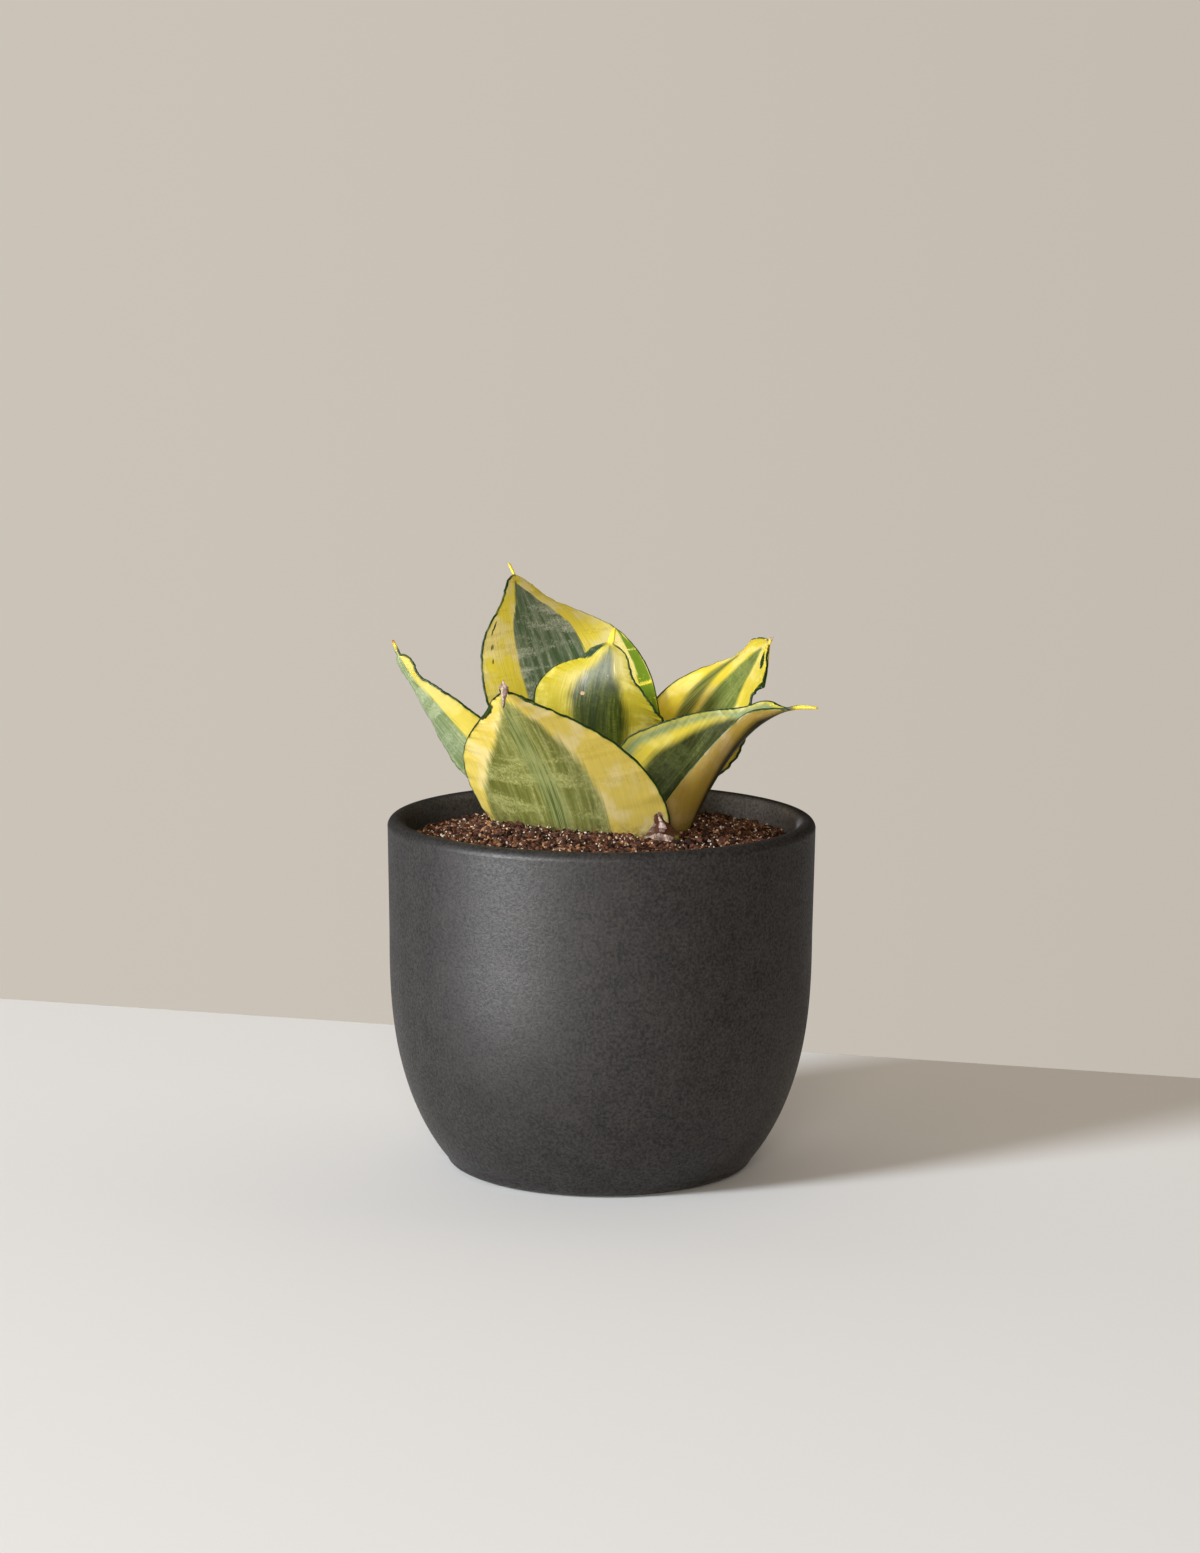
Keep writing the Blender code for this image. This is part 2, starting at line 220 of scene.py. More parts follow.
class NodeBench:
    """Adds nodes to one tree and wires them up."""

    def __init__(self, tree: NodeTree) -> None:
        """Start on a tree, laying new nodes out in a row."""
        self.tree = tree
        self.count = 0

    def plug(self, socket: NodeSocket, value: Any) -> None:
        """Link an output to a socket, or set the socket to a plain value."""
        if isinstance(value, NodeSocket):
            self.tree.links.new(value, socket)
        elif value is not None:
            socket.default_value = value

    def add(self, kind: str, inputs: Mapping[Any, Any] | None = None, **settings: Any) -> Node:
        """Add a node.

        Args:
            kind: the node's type name.
            inputs: values or outputs for its sockets, by name or number.
            settings: properties of the node.

        Returns:
            The node.
        """
        node = self.tree.nodes.new(kind)
        node.location = (180 * (self.count % 12), -220 * (self.count // 12))
        self.count += 1
        for key, value in settings.items():
            setattr(node, key, value)
        for key, value in (inputs or {}).items():
            self.plug(node.inputs[key], value)
        return node

    def math(self, operation: str, first: Any, second: Any = None, clamp: bool = False) -> NodeSocket:
        """Work out one sum, product or other operation."""
        node = self.add("ShaderNodeMath", {0: first, 1: second}, operation=operation, use_clamp=clamp)
        return node.outputs[0]

    def times(self, first: Any, second: Any) -> NodeSocket:
        """Multiply two values."""
        return self.math("MULTIPLY", first, second)

    def plus(self, first: Any, second: Any, clamp: bool = False) -> NodeSocket:
        """Add two values."""
        return self.math("ADD", first, second, clamp)

    def mix(self, share: Any, first: Any, second: Any, blend: str = "MIX") -> NodeSocket:
        """Mix two colours by a share."""
        places = {0: share, 6: first, 7: second}
        return self.add("ShaderNodeMix", places, data_type="RGBA", blend_type=blend).outputs[2]

    def step(self, value: Any, low: Any, high: Any, to_low: float = 0.0, to_high: float = 1.0) -> NodeSocket:
        """Map a value smoothly from one range onto another."""
        places = {"Value": value, "From Min": low, "From Max": high, "To Min": to_low, "To Max": to_high}
        return self.add("ShaderNodeMapRange", places, interpolation_type="SMOOTHSTEP").outputs["Result"]

    def noise(self, vector: Any, scale: Any, detail: float = 2.0, rough: float = 0.5) -> NodeSocket:
        """Give soft noise around a half."""
        places = {"Vector": vector, "Scale": scale, "Detail": detail, "Roughness": rough}
        return self.add("ShaderNodeTexNoise", places).outputs[0]

    def split(self, vector: Any) -> tuple[NodeSocket, ...]:
        """Give the three parts of a vector."""
        return tuple(self.add("ShaderNodeSeparateXYZ", {0: vector}).outputs)

    def join(self, x: Any, y: Any, z: Any) -> NodeSocket:
        """Make a vector of three parts."""
        return self.add("ShaderNodeCombineXYZ", {0: x, 1: y, 2: z}).outputs[0]

    def attribute(self, name: str) -> NodeSocket:
        """Read a vector stored on the mesh."""
        return self.add("ShaderNodeAttribute", attribute_name=name).outputs["Vector"]

    def object_place(self) -> NodeSocket:
        """Read the place on the object, in metres."""
        return self.add("ShaderNodeTexCoord").outputs["Object"]

    def millimetres(self, along_z: float = 1.0) -> NodeSocket:
        """Read the place on the object in millimetres, with z scaled once more."""
        scale = (1 / MM, 1 / MM, along_z / MM)
        return self.add("ShaderNodeMapping", {0: self.object_place(), 3: scale}).outputs[0]

    def group(self, tree: NodeTree, **inputs: Any) -> NodeSocket:
        """Place a shared group and give its first output."""
        return self.add("ShaderNodeGroup", inputs, node_tree=tree).outputs[0]

    def bump(self, shader: Node, strength: float, distance: float, height: Any) -> None:
        """Roughen a shader's normal by a height, with the distance in metres."""
        places = {"Strength": strength, "Distance": distance, "Height": height}
        self.plug(shader.inputs["Normal"], self.add("ShaderNodeBump", places).outputs[0])


class Effects:
    """Shader node groups that several finishes share, each made once."""

    def __init__(self) -> None:
        """Make every group."""
        self.streaks = self._streaks()
        self.band = self._band()
        self.bars = self._bars()
        self.patches = self._cloud("soft_patches", "Patch", (8.0, 0.45, 0.6), detail=3.0, rough=0.55)
        self.grit = self._cloud("fine_grit", "Grit", (1.0, 0.4, 0.6), detail=4.0, rough=0.75)

    @staticmethod
    def _new(name: str, inputs: Mapping[str, Any], output: str) -> tuple[NodeBench, Any, Any]:
        """Start a group with named inputs, given as default values, and one output.

        Args:
            name: name of the group.
            inputs: default of each input: a number, or None for a vector.
            output: name of the output.

        Returns:
            The bench, the group's inputs by name, and a function that sets the output.
        """
        tree = bpy.data.node_groups.new(name, "ShaderNodeTree")
        for key, value in inputs.items():
            kind = "NodeSocketVector" if value is None else "NodeSocketFloat"
            socket = tree.interface.new_socket(key, in_out="INPUT", socket_type=kind)
            if value is not None:
                socket.default_value = value
        tree.interface.new_socket(output, in_out="OUTPUT", socket_type="NodeSocketFloat")
        bench = NodeBench(tree)
        source = tree.nodes.new("NodeGroupInput")
        drain = tree.nodes.new("NodeGroupOutput")
        return bench, source.outputs, lambda value: bench.plug(drain.inputs[0], value)

    def _streaks(self) -> NodeTree:
        """Fine lines that run along a blade: noise that is long along it and narrow across it."""
        inputs = {"Grain": None, "Width": 0.6, "Length": 14.0, "Low": 0.38, "High": 0.62}
        bench, given, out = self._new("lengthwise_streaks", inputs, "Streak")
        across, along, layer = bench.split(given["Grain"])
        narrow = bench.math("DIVIDE", across, given["Width"])
        long = bench.math("DIVIDE", along, given["Length"])
        lines = bench.noise(bench.join(narrow, long, layer), 1.0, 3.0, 0.6)
        out(bench.step(lines, given["Low"], given["High"]))
        return bench.tree

    def _band(self) -> NodeTree:
        """A stripe's mask: its inside distance, frayed by streaks and softened over a width, both in mm."""
        inputs = {"Inside": 0.0, "Streak": 0.5, "Fray": 1.0, "Soft": 0.5}
        bench, given, out = self._new("frayed_band", inputs, "Mask")
        swing = bench.math("SUBTRACT", given["Streak"], 0.5)
        shift = bench.times(swing, given["Fray"])
        moved = bench.plus(given["Inside"], shift)
        below = bench.times(given["Soft"], -1.0)
        out(bench.step(moved, below, given["Soft"]))
        return bench.tree

    def _bars(self) -> NodeTree:
        """Pale bars across a blade: noise that is wide across it, broken up by a fine mottle."""
        inputs = {"Grain": None, "Spacing": 5.0, "Low": 0.45, "High": 0.62, "Break": 0.35}
        bench, given, out = self._new("cross_bars", inputs, "Bar")
        across, along, layer = bench.split(given["Grain"])
        wide = bench.math("DIVIDE", across, 26.0)
        short = bench.math("DIVIDE", along, given["Spacing"])
        bars = bench.noise(bench.join(wide, short, layer), 1.0, 2.0, 0.5)
        fine = bench.noise(given["Grain"], 1.3, 3.0, 0.65)
        broken = bench.times(bench.math("SUBTRACT", fine, 0.5), given["Break"])
        out(bench.step(bench.plus(bars, broken), given["Low"], given["High"]))
        return bench.tree

    def _cloud(
        self, name: str, output: str, defaults: tuple[float, float, float], detail: float, rough: float
    ) -> NodeTree:
        """Soft patches or hard speckle: noise of a given size, steepened between two levels.

        Args:
            name: name of the group.
            output: name of its output.
            defaults: size of the patches, and the levels that come out as 0 and as 1.
            detail: layers of finer noise.
            rough: how strongly the finer layers show.

        Returns:
            The group.
        """
        size, low, high = defaults
        bench, given, out = self._new(name, {"Vector": None, "Size": size, "Low": low, "High": high}, output)
        cloud = bench.noise(given["Vector"], bench.math("DIVIDE", 1.0, given["Size"]), detail, rough)
        out(bench.step(cloud, given["Low"], given["High"]))
        return bench.tree


def new_material(name: str, rough: float, **constants: Any) -> tuple[Material, NodeBench, Node]:
    """Start a material on a Principled shader.

    Args:
        name: name of the material.
        rough: its roughness.
        constants: other plain values of the shader, by socket name with _ for a space.

    Returns:
        The material, a bench on its tree, and the shader.
    """
    made = bpy.data.materials.new(name)
    made.use_nodes = True
    shader = made.node_tree.nodes["Principled BSDF"]
    shader.inputs["Roughness"].default_value = rough
    for key, value in constants.items():
        shader.inputs[key.replace("_", " ")].default_value = value
    return made, NodeBench(made.node_tree), shader


# The pot


@dataclass(frozen=True)
class MattCeramic:
    """Matt charcoal glaze with a fine grey mottle."""

    dark: Rgba = colour(14, 13, 14)
    light: Rgba = colour(60, 57, 56)
    inner_dark: Rgba = colour(78, 77, 79)
    inner_light: Rgba = colour(136, 133, 134)
    speckle: float = 0.9
    cloud: float = 9.0
    rough: float = 0.46

    def build(self, effects: Effects) -> Material:
        """Make the material: two sizes of mottle in the colour, a paler inner wall that is partly dust and
        partly painted light, and a slight orange-peel bump.
        """
        made, bench, shader = new_material("matt_charcoal_ceramic", self.rough, Specular_IOR_Level=0.16)
        place = bench.millimetres()
        grit = bench.group(effects.grit, Vector=place, Size=self.speckle, Low=0.3, High=0.7)
        cloud = bench.group(effects.patches, Vector=place, Size=self.cloud, Low=0.3, High=0.7)
        share = bench.plus(bench.times(grit, 0.85), bench.times(cloud, 0.15))
        glaze = bench.mix(share, self.dark, self.light)
        inside = bench.split(bench.attribute("inside"))[0]
        # The inner wall's pale grey is partly dust and partly painted light.
        dust_and_painted_light = bench.mix(share, self.inner_dark, self.inner_light)
        bench.plug(shader.inputs["Base Color"], bench.mix(inside, glaze, dust_and_painted_light))
        rough = bench.step(grit, 0.0, 1.0, self.rough + 0.07, self.rough - 0.05)
        bench.plug(shader.inputs["Roughness"], rough)
        bench.bump(shader, 0.6, 0.00006, grit)
        return made


@dataclass
class PlantPot:
    """A turned pot: narrow foot, full belly, near-straight wall and a soft rounded lip.

    shoulder_height, shoulder_tuck: where the belly ends, and how much less than the rim it is there.
    belly_power, belly_round: powers of the belly's curve; the rest are plain sizes and mesh counts.
    paler_towards: compass direction in which the inner wall is palest; the pale there is painted light
    falling on it.
    """

    foot_radius: float = 43.5
    foot_round: float = 3.0
    shoulder_height: float = 72.0
    shoulder_tuck: float = 0.6
    belly_power: float = 2.7
    belly_round: float = 1.2
    wall: float = 5.6
    floor: float = 7.0
    floor_round: float = 9.0
    drain_radius: float = 6.0
    segments: int = 288
    outside_rows: int = 90
    inside_rows: int = 60
    lip_steps: int = 25
    corner_steps: int = 8
    edge_break: float = 0.5
    paler_towards: float = 25.0
    finish: MattCeramic = field(default_factory=MattCeramic)

    def __post_init__(self) -> None:
        """Take the height and the rim from the frame."""
        low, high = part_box("pot")
        self.height = high.z / MM
        self.rim_radius = (high.x - low.x) / 2 / MM

    def outer_radius(self, z: Array) -> Array:
        """Outer radius at a height: foot to shoulder by (1-(1-z/h)^p)^(1/q), then straight to the rim."""
        shoulder = self.rim_radius - self.shoulder_tuck
        share = np.clip(z / self.shoulder_height, 0, 1)
        bulge = (1 - (1 - share) ** self.belly_power) ** (1 / self.belly_round)
        above = np.clip((z - self.shoulder_height) / (self.height - self.shoulder_height), 0, 1)
        return self.foot_radius + (shoulder - self.foot_radius) * bulge + self.shoulder_tuck * above

    def profile(self) -> Array:
        """Give the closed section as (radius, height): drain edge, underside, belly, lip, wall, floor."""
        lip = self.wall / 2
        low = self.height - lip
        outside = self.foot_round + (low - self.foot_round) * np.linspace(0, 1, self.outside_rows) ** 1.3
        inside = np.linspace(low, self.floor + self.floor_round, self.inside_rows)[1:]
        turn = np.linspace(0, np.pi, self.lip_steps + 1)[1:]
        quarter = np.linspace(0, np.pi / 2, self.corner_steps + 1)
        foot_end = self.outer_radius(np.array([self.foot_round]))[0]
        foot_start = self.foot_radius - self.foot_round
        foot = np.stack([foot_start + (foot_end - foot_start) * np.sin(quarter),
                         self.foot_round * (1 - np.cos(quarter))], -1)
        wall_end = self.outer_radius(inside[-1:])[0] - self.wall
        floor_end = wall_end - self.floor_round
        cut = self.edge_break
        bowl = np.stack([floor_end + self.floor_round * np.cos(quarter),
                         self.floor + self.floor_round * (1 - np.sin(quarter))], -1)
        parts = [
            np.array([[self.drain_radius, cut], [self.drain_radius + cut, 0.0], [foot_start - cut, 0.0]]),
            foot,
            np.stack([self.outer_radius(outside), outside], -1)[1:],
            np.stack([self.rim_radius - lip + lip * np.cos(turn), low + lip * np.sin(turn)], -1),
            np.stack([self.outer_radius(inside) - self.wall, inside], -1),
            bowl[1:],
            np.array([[self.drain_radius + cut, self.floor], [self.drain_radius, self.floor - cut]]),
        ]
        return np.concatenate(parts)

    def build(self, effects: Effects) -> Object:
        """Turn the section: x = r cos a, y = r sin a, z = h over a full turn, closed both ways.

        The attribute "inside" is 1 on the inner wall in the direction paler_towards, and fades round it:
        painted light on that side, painted shade round it.
        """
        section = self.profile()
        angle = np.linspace(0, 2 * np.pi, self.segments, endpoint=False)[:, None]
        radius, height = section[:, 0][None, :], section[:, 1][None, :]
        points = np.stack([radius * np.cos(angle), radius * np.sin(angle), height + 0 * angle], -1)
        faces = grid_faces(self.segments, len(section), wrap_rows=True, wrap_columns=True)
        mesh = make_mesh("pot_body", points.reshape(-1, 3), [faces])
        depth = self.outer_radius(section[:, 1]) - section[:, 0]
        inside = smooth_step(depth, 0.6 * self.wall, 0.95 * self.wall)
        inside = inside * (section[:, 1] > self.floor - 0.6)
        # Painted light: the inner wall is palest towards paler_towards and fades to painted shade round it.
        inside = inside * (0.5 + 0.5 * np.cos(angle - math.radians(self.paler_towards)))
        add_attribute(mesh, "inside", inside.reshape(-1, 1) * np.ones(3))
        return add_piece("pot_body", mesh, self.finish.build(effects), ["pot"])


# Leaves


@dataclass(frozen=True)
class Stripe:
    """A stripe along a blade, as knots of (t, s of one edge, s of the other edge)."""

    knots: tuple[tuple[float, float, float], ...]
    top: float = 1.2

    BELOW_FOOT = 0.3

    def inside(self, t: Array, s: Array, reach: Array, length: float) -> Array:
        """Distance inside the stripe in millimetres: the least of those to both edges and both ends.

        Args:
            t: lengthwise shares.
            s: crosswise shares.
            reach: half width of the blade at each place.
            length: length of the blade.

        Returns:
            The distances, negative outside.
        """
        knots = np.array(self.knots)
        first = np.interp(t, knots[:, 0], knots[:, 1])
        last = np.interp(t, knots[:, 0], knots[:, 2])
        across = np.minimum(s - first, last - s) * reach
        start = knots[0, 0] - self.BELOW_FOOT * (knots[0, 0] <= 0)
        ends = np.minimum(self.top - t, t - start) * length
        return np.minimum(across, ends)


NO_STRIPE = Stripe(((0.0, 2.0, 1.0), (1.0, 2.0, 1.0)))


@dataclass(frozen=True)
class Spot:
    """An oval mark on a blade: its place (t, s) and half sizes along and across in millimetres."""

    t: float
    s: float
    half_length: float
    half_width: float

    def inside(self, t: Array, s: Array, reach: Array, length: float) -> Array:
        """1 - (along/half length)^2 - (across/half width)^2, above 0 inside; the arguments are a Stripe's."""
        along = (t - self.t) * length / self.half_length
        across = (s - self.s) * reach / self.half_width
        return 1 - along**2 - across**2


@dataclass(frozen=True)
class BladeLook:
    """Where a leaf's stripes and marks lie, and its own colours.

    band, second: green stripes, the second over the first; fringe: a blotched stripe at a margin.
    dark_marks, scars: oval spots of margin green and of dry brown.
    green, pale: the stripes' ground and its streaks; second_green, second_share: the same of the second.
    yellow, cream: the blade between stripes and its clouds; cream_low: lower for more cream.
    tip, tip_end, tip_from: colours of the awl and its dry end, and the share where the awl starts.
    bars, fray, soft: strength of the cross bars, and unevenness and softness of the edges in millimetres.
    rim: width of the dark margin; outer, left, right: painted shade multiplied onto the outer face and onto
    the two sides.
    """

    band: Stripe
    second: Stripe = NO_STRIPE
    fringe: Stripe = NO_STRIPE
    dark_marks: tuple[Spot, ...] = ()
    scars: tuple[Spot, ...] = ()
    green: Rgba = colour(66, 88, 58)
    second_green: Rgba = colour(66, 88, 58)
    second_share: float = 1.0
    pale: Rgba = colour(160, 172, 128)
    yellow: Rgba = colour(240, 218, 92)
    cream: Rgba = colour(250, 232, 168)
    tip: Rgba = colour(232, 205, 52)
    tip_end: Rgba = colour(216, 186, 60)
    tip_from: float = 0.93
    cream_low: float = 0.42
    bars: float = 0.7
    fray: float = 1.4
    soft: float = 1.1
    rim: float = 0.1
    outer: Rgba = colour(255, 255, 255)
    left: Rgba = colour(255, 255, 255)
    right: Rgba = colour(255, 255, 255)


@dataclass(frozen=True)
class LeafShape:
    """Sizes of one leaf, the same as in the CAD model.

    spine: points that steer the keel line from the foot to the tip, from the crown's top centre.
    half_width: keel to margin, along the blade, where the leaf is widest.
    skew: share by which one half is wider than the other.
    foot: half width at the foot as a share of half_width.
    widest_at: share of the length where the leaf is widest.
    shoulder, taper: powers that shape the blade above its widest place.
    cup: angle that the section turns from keel to margin, at the foot, the middle and the tip.
    facing: compass direction of the inner face at the foot and the tip, 0 along +X.
    roll: turn about the spine at the foot and the tip.
    wave: height of the margin's wave in millimetres, half waves along the length, phase.
    waist: share of the width taken off at WAIST_AT.
    lift: how far the inner face's compass direction tips up.
    """

    spine: tuple[tuple[float, float, float], ...]
    half_width: float
    skew: float
    foot: float
    widest_at: float
    shoulder: float
    taper: float
    cup: tuple[float, float, float]
    facing: tuple[float, float]
    roll: tuple[float, float]
    wave: tuple[float, float, float]
    waist: float = 0.0
    lift: float = 0.0

    WAIST_AT = 0.82
    WAIST_LENGTH = 0.07
    AWL_STARTS = 0.93
    AWL_WIDE = 1.4
    AWL_FINE = 0.5

    def half_widths(self, t: Array) -> Array:
        """Half width: a sine rise to the widest place, then (1-v^shoulder)^taper, a waist and the awl."""
        share = np.clip(t / self.AWL_STARTS, 0, 1)
        rise = np.sin(np.pi / 2 * np.clip(share / self.widest_at, 0, 1))
        rising = self.foot + (1 - self.foot) * rise
        above = np.clip((share - self.widest_at) / (1 - self.widest_at), 0, 1)
        falling = np.clip(1 - above**self.shoulder, 1e-4, 1) ** self.taper
        waist = 1 - self.waist * np.exp(-(((t - self.WAIST_AT) / self.WAIST_LENGTH) ** 2))
        blade = self.half_width * np.where(share < self.widest_at, rising, falling) * waist
        slim = np.clip((1 - t) / (1 - self.AWL_STARTS), 0, 1)
        return np.maximum(blade, self.AWL_FINE + (self.AWL_WIDE - self.AWL_FINE) * slim)

    def reach(self, t: Array, s: Array) -> Array:
        """Half width at each place: the skew widens one half and narrows the other."""
        return self.half_widths(t) * (1 + self.skew * s)

    def surface(self, t: Array, s: Array) -> Array:
        """Middle surface of the blade from the crown's top centre.

        The keel is a Bezier curve through the spine's points. The section is an arc that turns by the cup
        angle from keel to margin, set square to the keel, and its margins wave up and down.

        Args:
            t: lengthwise shares.
            s: crosswise shares, of the same shape.

        Returns:
            Points, one vector for each pair.
        """
        points = np.array(self.spine, float)
        degree = len(points) - 1
        keel = bernstein(degree, t) @ points
        along = unit(bernstein(degree - 1, t) @ np.diff(points, axis=0))
        compass = np.radians(self.facing[0] + (self.facing[1] - self.facing[0]) * t)
        front = np.stack([np.cos(compass), np.sin(compass), np.full_like(t, self.lift)], -1)
        front = unit(front - (front * along).sum(-1, keepdims=True) * along)
        side = np.cross(along, front)
        roll = np.radians(self.roll[0] + (self.roll[1] - self.roll[0]) * t)[..., None]
        inward = front * np.cos(roll) + side * np.sin(roll)
        across = side * np.cos(roll) - front * np.sin(roll)
        cup = np.radians(np.maximum(bernstein(2, t) @ np.array(self.cup, float), 1.0))
        reach = self.reach(t, s)
        sideways = reach * np.sin(cup * s) / cup
        depth = reach * (1 - np.cos(cup * s)) / cup
        height, count, phase = self.wave
        lengthwise = np.sin(np.pi * count * t + math.radians(phase)) * np.sin(np.pi * t)
        depth = depth + height * lengthwise * np.sign(s) * s**2
        return keel + across * sideways[..., None] + inward * depth[..., None]


@dataclass(frozen=True)
class LeafSkin:
    """How finely a leaf is meshed, how thick it is and how its margins waver, in millimetres."""

    rows: int = 200
    columns: int = 61
    edge_steps: int = 6
    keel_half: float = 1.0
    margin_half: float = 0.26
    bead: float = 0.1
    waver: float = 0.22
    crowd_sides: float = 0.3
    crowd_tip: float = 0.45
    below_foot: float = -0.14
    foot_gap: float = 0.3


class BladeTissue:
    """The variegated finish of one leaf; dirt_above is how far above the soil dust lies on it, in mm."""

    rim_colour = colour(28, 50, 20)
    halo_colour = colour(120, 142, 44)
    mark_colour = colour(34, 58, 22)
    fleck_colour = colour(120, 150, 40)
    stain_colour = colour(205, 178, 40)
    line_colour = colour(150, 150, 40)
    flesh_glow = (1.0, 0.9, 0.25)
    dirt = colour(96, 74, 44)
    scar_colour = colour(196, 160, 120)
    dirt_above = 5.0

    def __init__(self, name: str, look: BladeLook, soil_top: float) -> None:
        """Keep the leaf's name, its look and the height of the soil around it."""
        self.name = name
        self.look = look
        self.soil_top = soil_top

    def build(self, effects: Effects) -> Material:
        """Make the material: yellow ground, green stripes, rim, tip and marks, laid one over another."""
        glow = {"Subsurface_Weight": 0.1, "Subsurface_Scale": 0.0015, "Subsurface_Radius": self.flesh_glow}
        made, bench, shader = new_material(f"{self.name}_tissue", 0.4, Specular_IOR_Level=0.14, **glow)
        look = self.look
        grain = bench.attribute("grain")
        band, second, fringe = bench.split(bench.attribute("stripes"))
        margin, length, marks = bench.split(bench.attribute("edges"))
        fine = bench.group(effects.streaks, Grain=grain, Width=0.55, Length=16.0)
        broad = bench.group(effects.streaks, Grain=grain, Width=2.4, Length=34.0, Low=0.36, High=0.64)
        ground = self._ground(bench, effects, grain, fine)
        green = self._green(bench, effects, grain, fine, broad)
        both = bench.plus(bench.times(fine, 0.7), bench.times(broad, 0.3))
        edge = {"Streak": both, "Fray": look.fray, "Soft": look.soft}
        mask = bench.group(effects.band, **edge, Inside=band)
        mask2 = bench.group(effects.band, **edge, Inside=second)
        shade = bench.mix(mask, ground, green)
        core = bench.mix(bench.times(fine, 0.5), look.second_green, look.pale)
        shade = bench.mix(bench.times(mask2, look.second_share), shade, core)
        fringe_mask = bench.group(effects.band, Inside=fringe, Streak=fine, Fray=0.8, Soft=0.3)
        blotch = bench.group(effects.bars, Grain=grain, Spacing=4.0, Low=0.40, High=0.46, Break=0.3)
        shade = bench.mix(bench.times(fringe_mask, blotch), shade, self.fleck_colour)
        mark_mask = bench.group(effects.band, Inside=marks, Streak=fine, Fray=0.5, Soft=0.25)
        shade = bench.mix(mark_mask, shade, self.mark_colour)
        face, across, scar = bench.split(bench.attribute("side"))
        # Painted shade: the outer face and each side are darkened by a multiplied colour where they turn from
        # the light.
        sides = (face, -0.5, 0.5, look.outer), (across, 0.15, -0.6, look.left), (across, 0.0, 0.6, look.right)
        for share, low, high, tint in sides:
            tinted = bench.mix(1.0, shade, tint, "MULTIPLY")
            shade = bench.mix(bench.step(share, low, high), shade, tinted)
        shade = bench.mix(bench.step(scar, 0.0, 0.4), shade, self.scar_colour)
        shade = self._tip(bench, length, shade)
        shade = self._rimmed(bench, effects, grain, margin, length, shade)
        shade = self._soiled(bench, effects, shade)
        bench.plug(shader.inputs["Base Color"], shade)
        bench.plug(shader.inputs["Roughness"], bench.step(fine, 0.0, 1.0, 0.36, 0.46))
        height = bench.plus(bench.times(fine, 0.5), bench.times(broad, 1.0))
        bench.bump(shader, 0.22, 0.0002, height)
        return made

    def _ground(self, bench: NodeBench, effects: Effects, grain: Any, fine: Any) -> NodeSocket:
        """Yellow with cream clouds and faint olive lines."""
        look = self.look
        low = look.cream_low
        cloud = bench.group(effects.patches, Vector=grain, Size=11.0, Low=low, High=low + 0.16)
        shade = bench.mix(cloud, look.yellow, look.cream)
        stain = bench.group(effects.bars, Grain=grain, Spacing=3.2, Low=0.56, High=0.7, Break=0.5)
        shade = bench.mix(bench.times(stain, 0.28), shade, self.stain_colour)
        lines = bench.times(bench.math("POWER", fine, 3.0), 0.10)
        return bench.mix(lines, shade, self.line_colour)

    def _green(self, bench: NodeBench, effects: Effects, grain: Any, fine: Any, broad: Any) -> NodeSocket:
        """Dark green, lightened by broad and fine streaks and by mottled cross bars."""
        look = self.look
        bars = bench.group(effects.bars, Grain=grain, Spacing=5.5, Low=0.44, High=0.62, Break=0.45)
        mottle = bench.group(effects.grit, Vector=grain, Size=1.1, Low=0.36, High=0.68)
        streaked = bench.times(broad, bench.plus(bench.times(fine, 0.6), 0.4))
        barred = bench.times(bars, look.bars)
        share = bench.math("MAXIMUM", bench.times(streaked, 0.8), barred)
        share = bench.times(share, bench.plus(bench.times(mottle, 0.55), 0.45))
        return bench.mix(share, look.green, look.pale)

    def _rimmed(
        self, bench: NodeBench, effects: Effects, grain: Any, margin: Any, length: Any, shade: Any
    ) -> NodeSocket:
        """The horny margin: a dark green line of uneven width in a faint green halo, ending below the awl."""
        look = self.look
        uneven = bench.group(effects.patches, Vector=grain, Size=5.0, Low=0.3, High=0.7)
        width = bench.step(uneven, 0.0, 1.0, look.rim * 0.35, look.rim * 1.5)
        inside = bench.math("SUBTRACT", width, margin)
        ends = bench.step(length, look.tip_from + 0.02, look.tip_from - 0.02)
        halo = bench.times(bench.step(inside, -0.8, 0.1), 0.35)
        shade = bench.mix(bench.times(halo, ends), shade, self.halo_colour)
        line = bench.times(bench.step(inside, -0.12, 0.08), ends)
        return bench.mix(line, shade, self.rim_colour)

    def _tip(self, bench: NodeBench, length: Any, shade: Any) -> NodeSocket:
        """The awl: plain yellow, then its dry end."""
        look = self.look
        awl = bench.step(length, look.tip_from - 0.02, look.tip_from + 0.015)
        shade = bench.mix(awl, shade, look.tip)
        return bench.mix(bench.step(length, 0.975, 0.998), shade, look.tip_end)

    def _soiled(self, bench: NodeBench, effects: Effects, shade: Any) -> NodeSocket:
        """Dusty and brownish where the blade comes out of the soil."""
        place = bench.millimetres()
        grit = bench.group(effects.grit, Vector=place, Size=1.6, Low=0.35, High=0.65)
        low = bench.step(bench.split(place)[2], self.soil_top + self.dirt_above, self.soil_top - 1)
        return bench.mix(bench.times(low, bench.times(grit, 0.8)), shade, self.dirt)


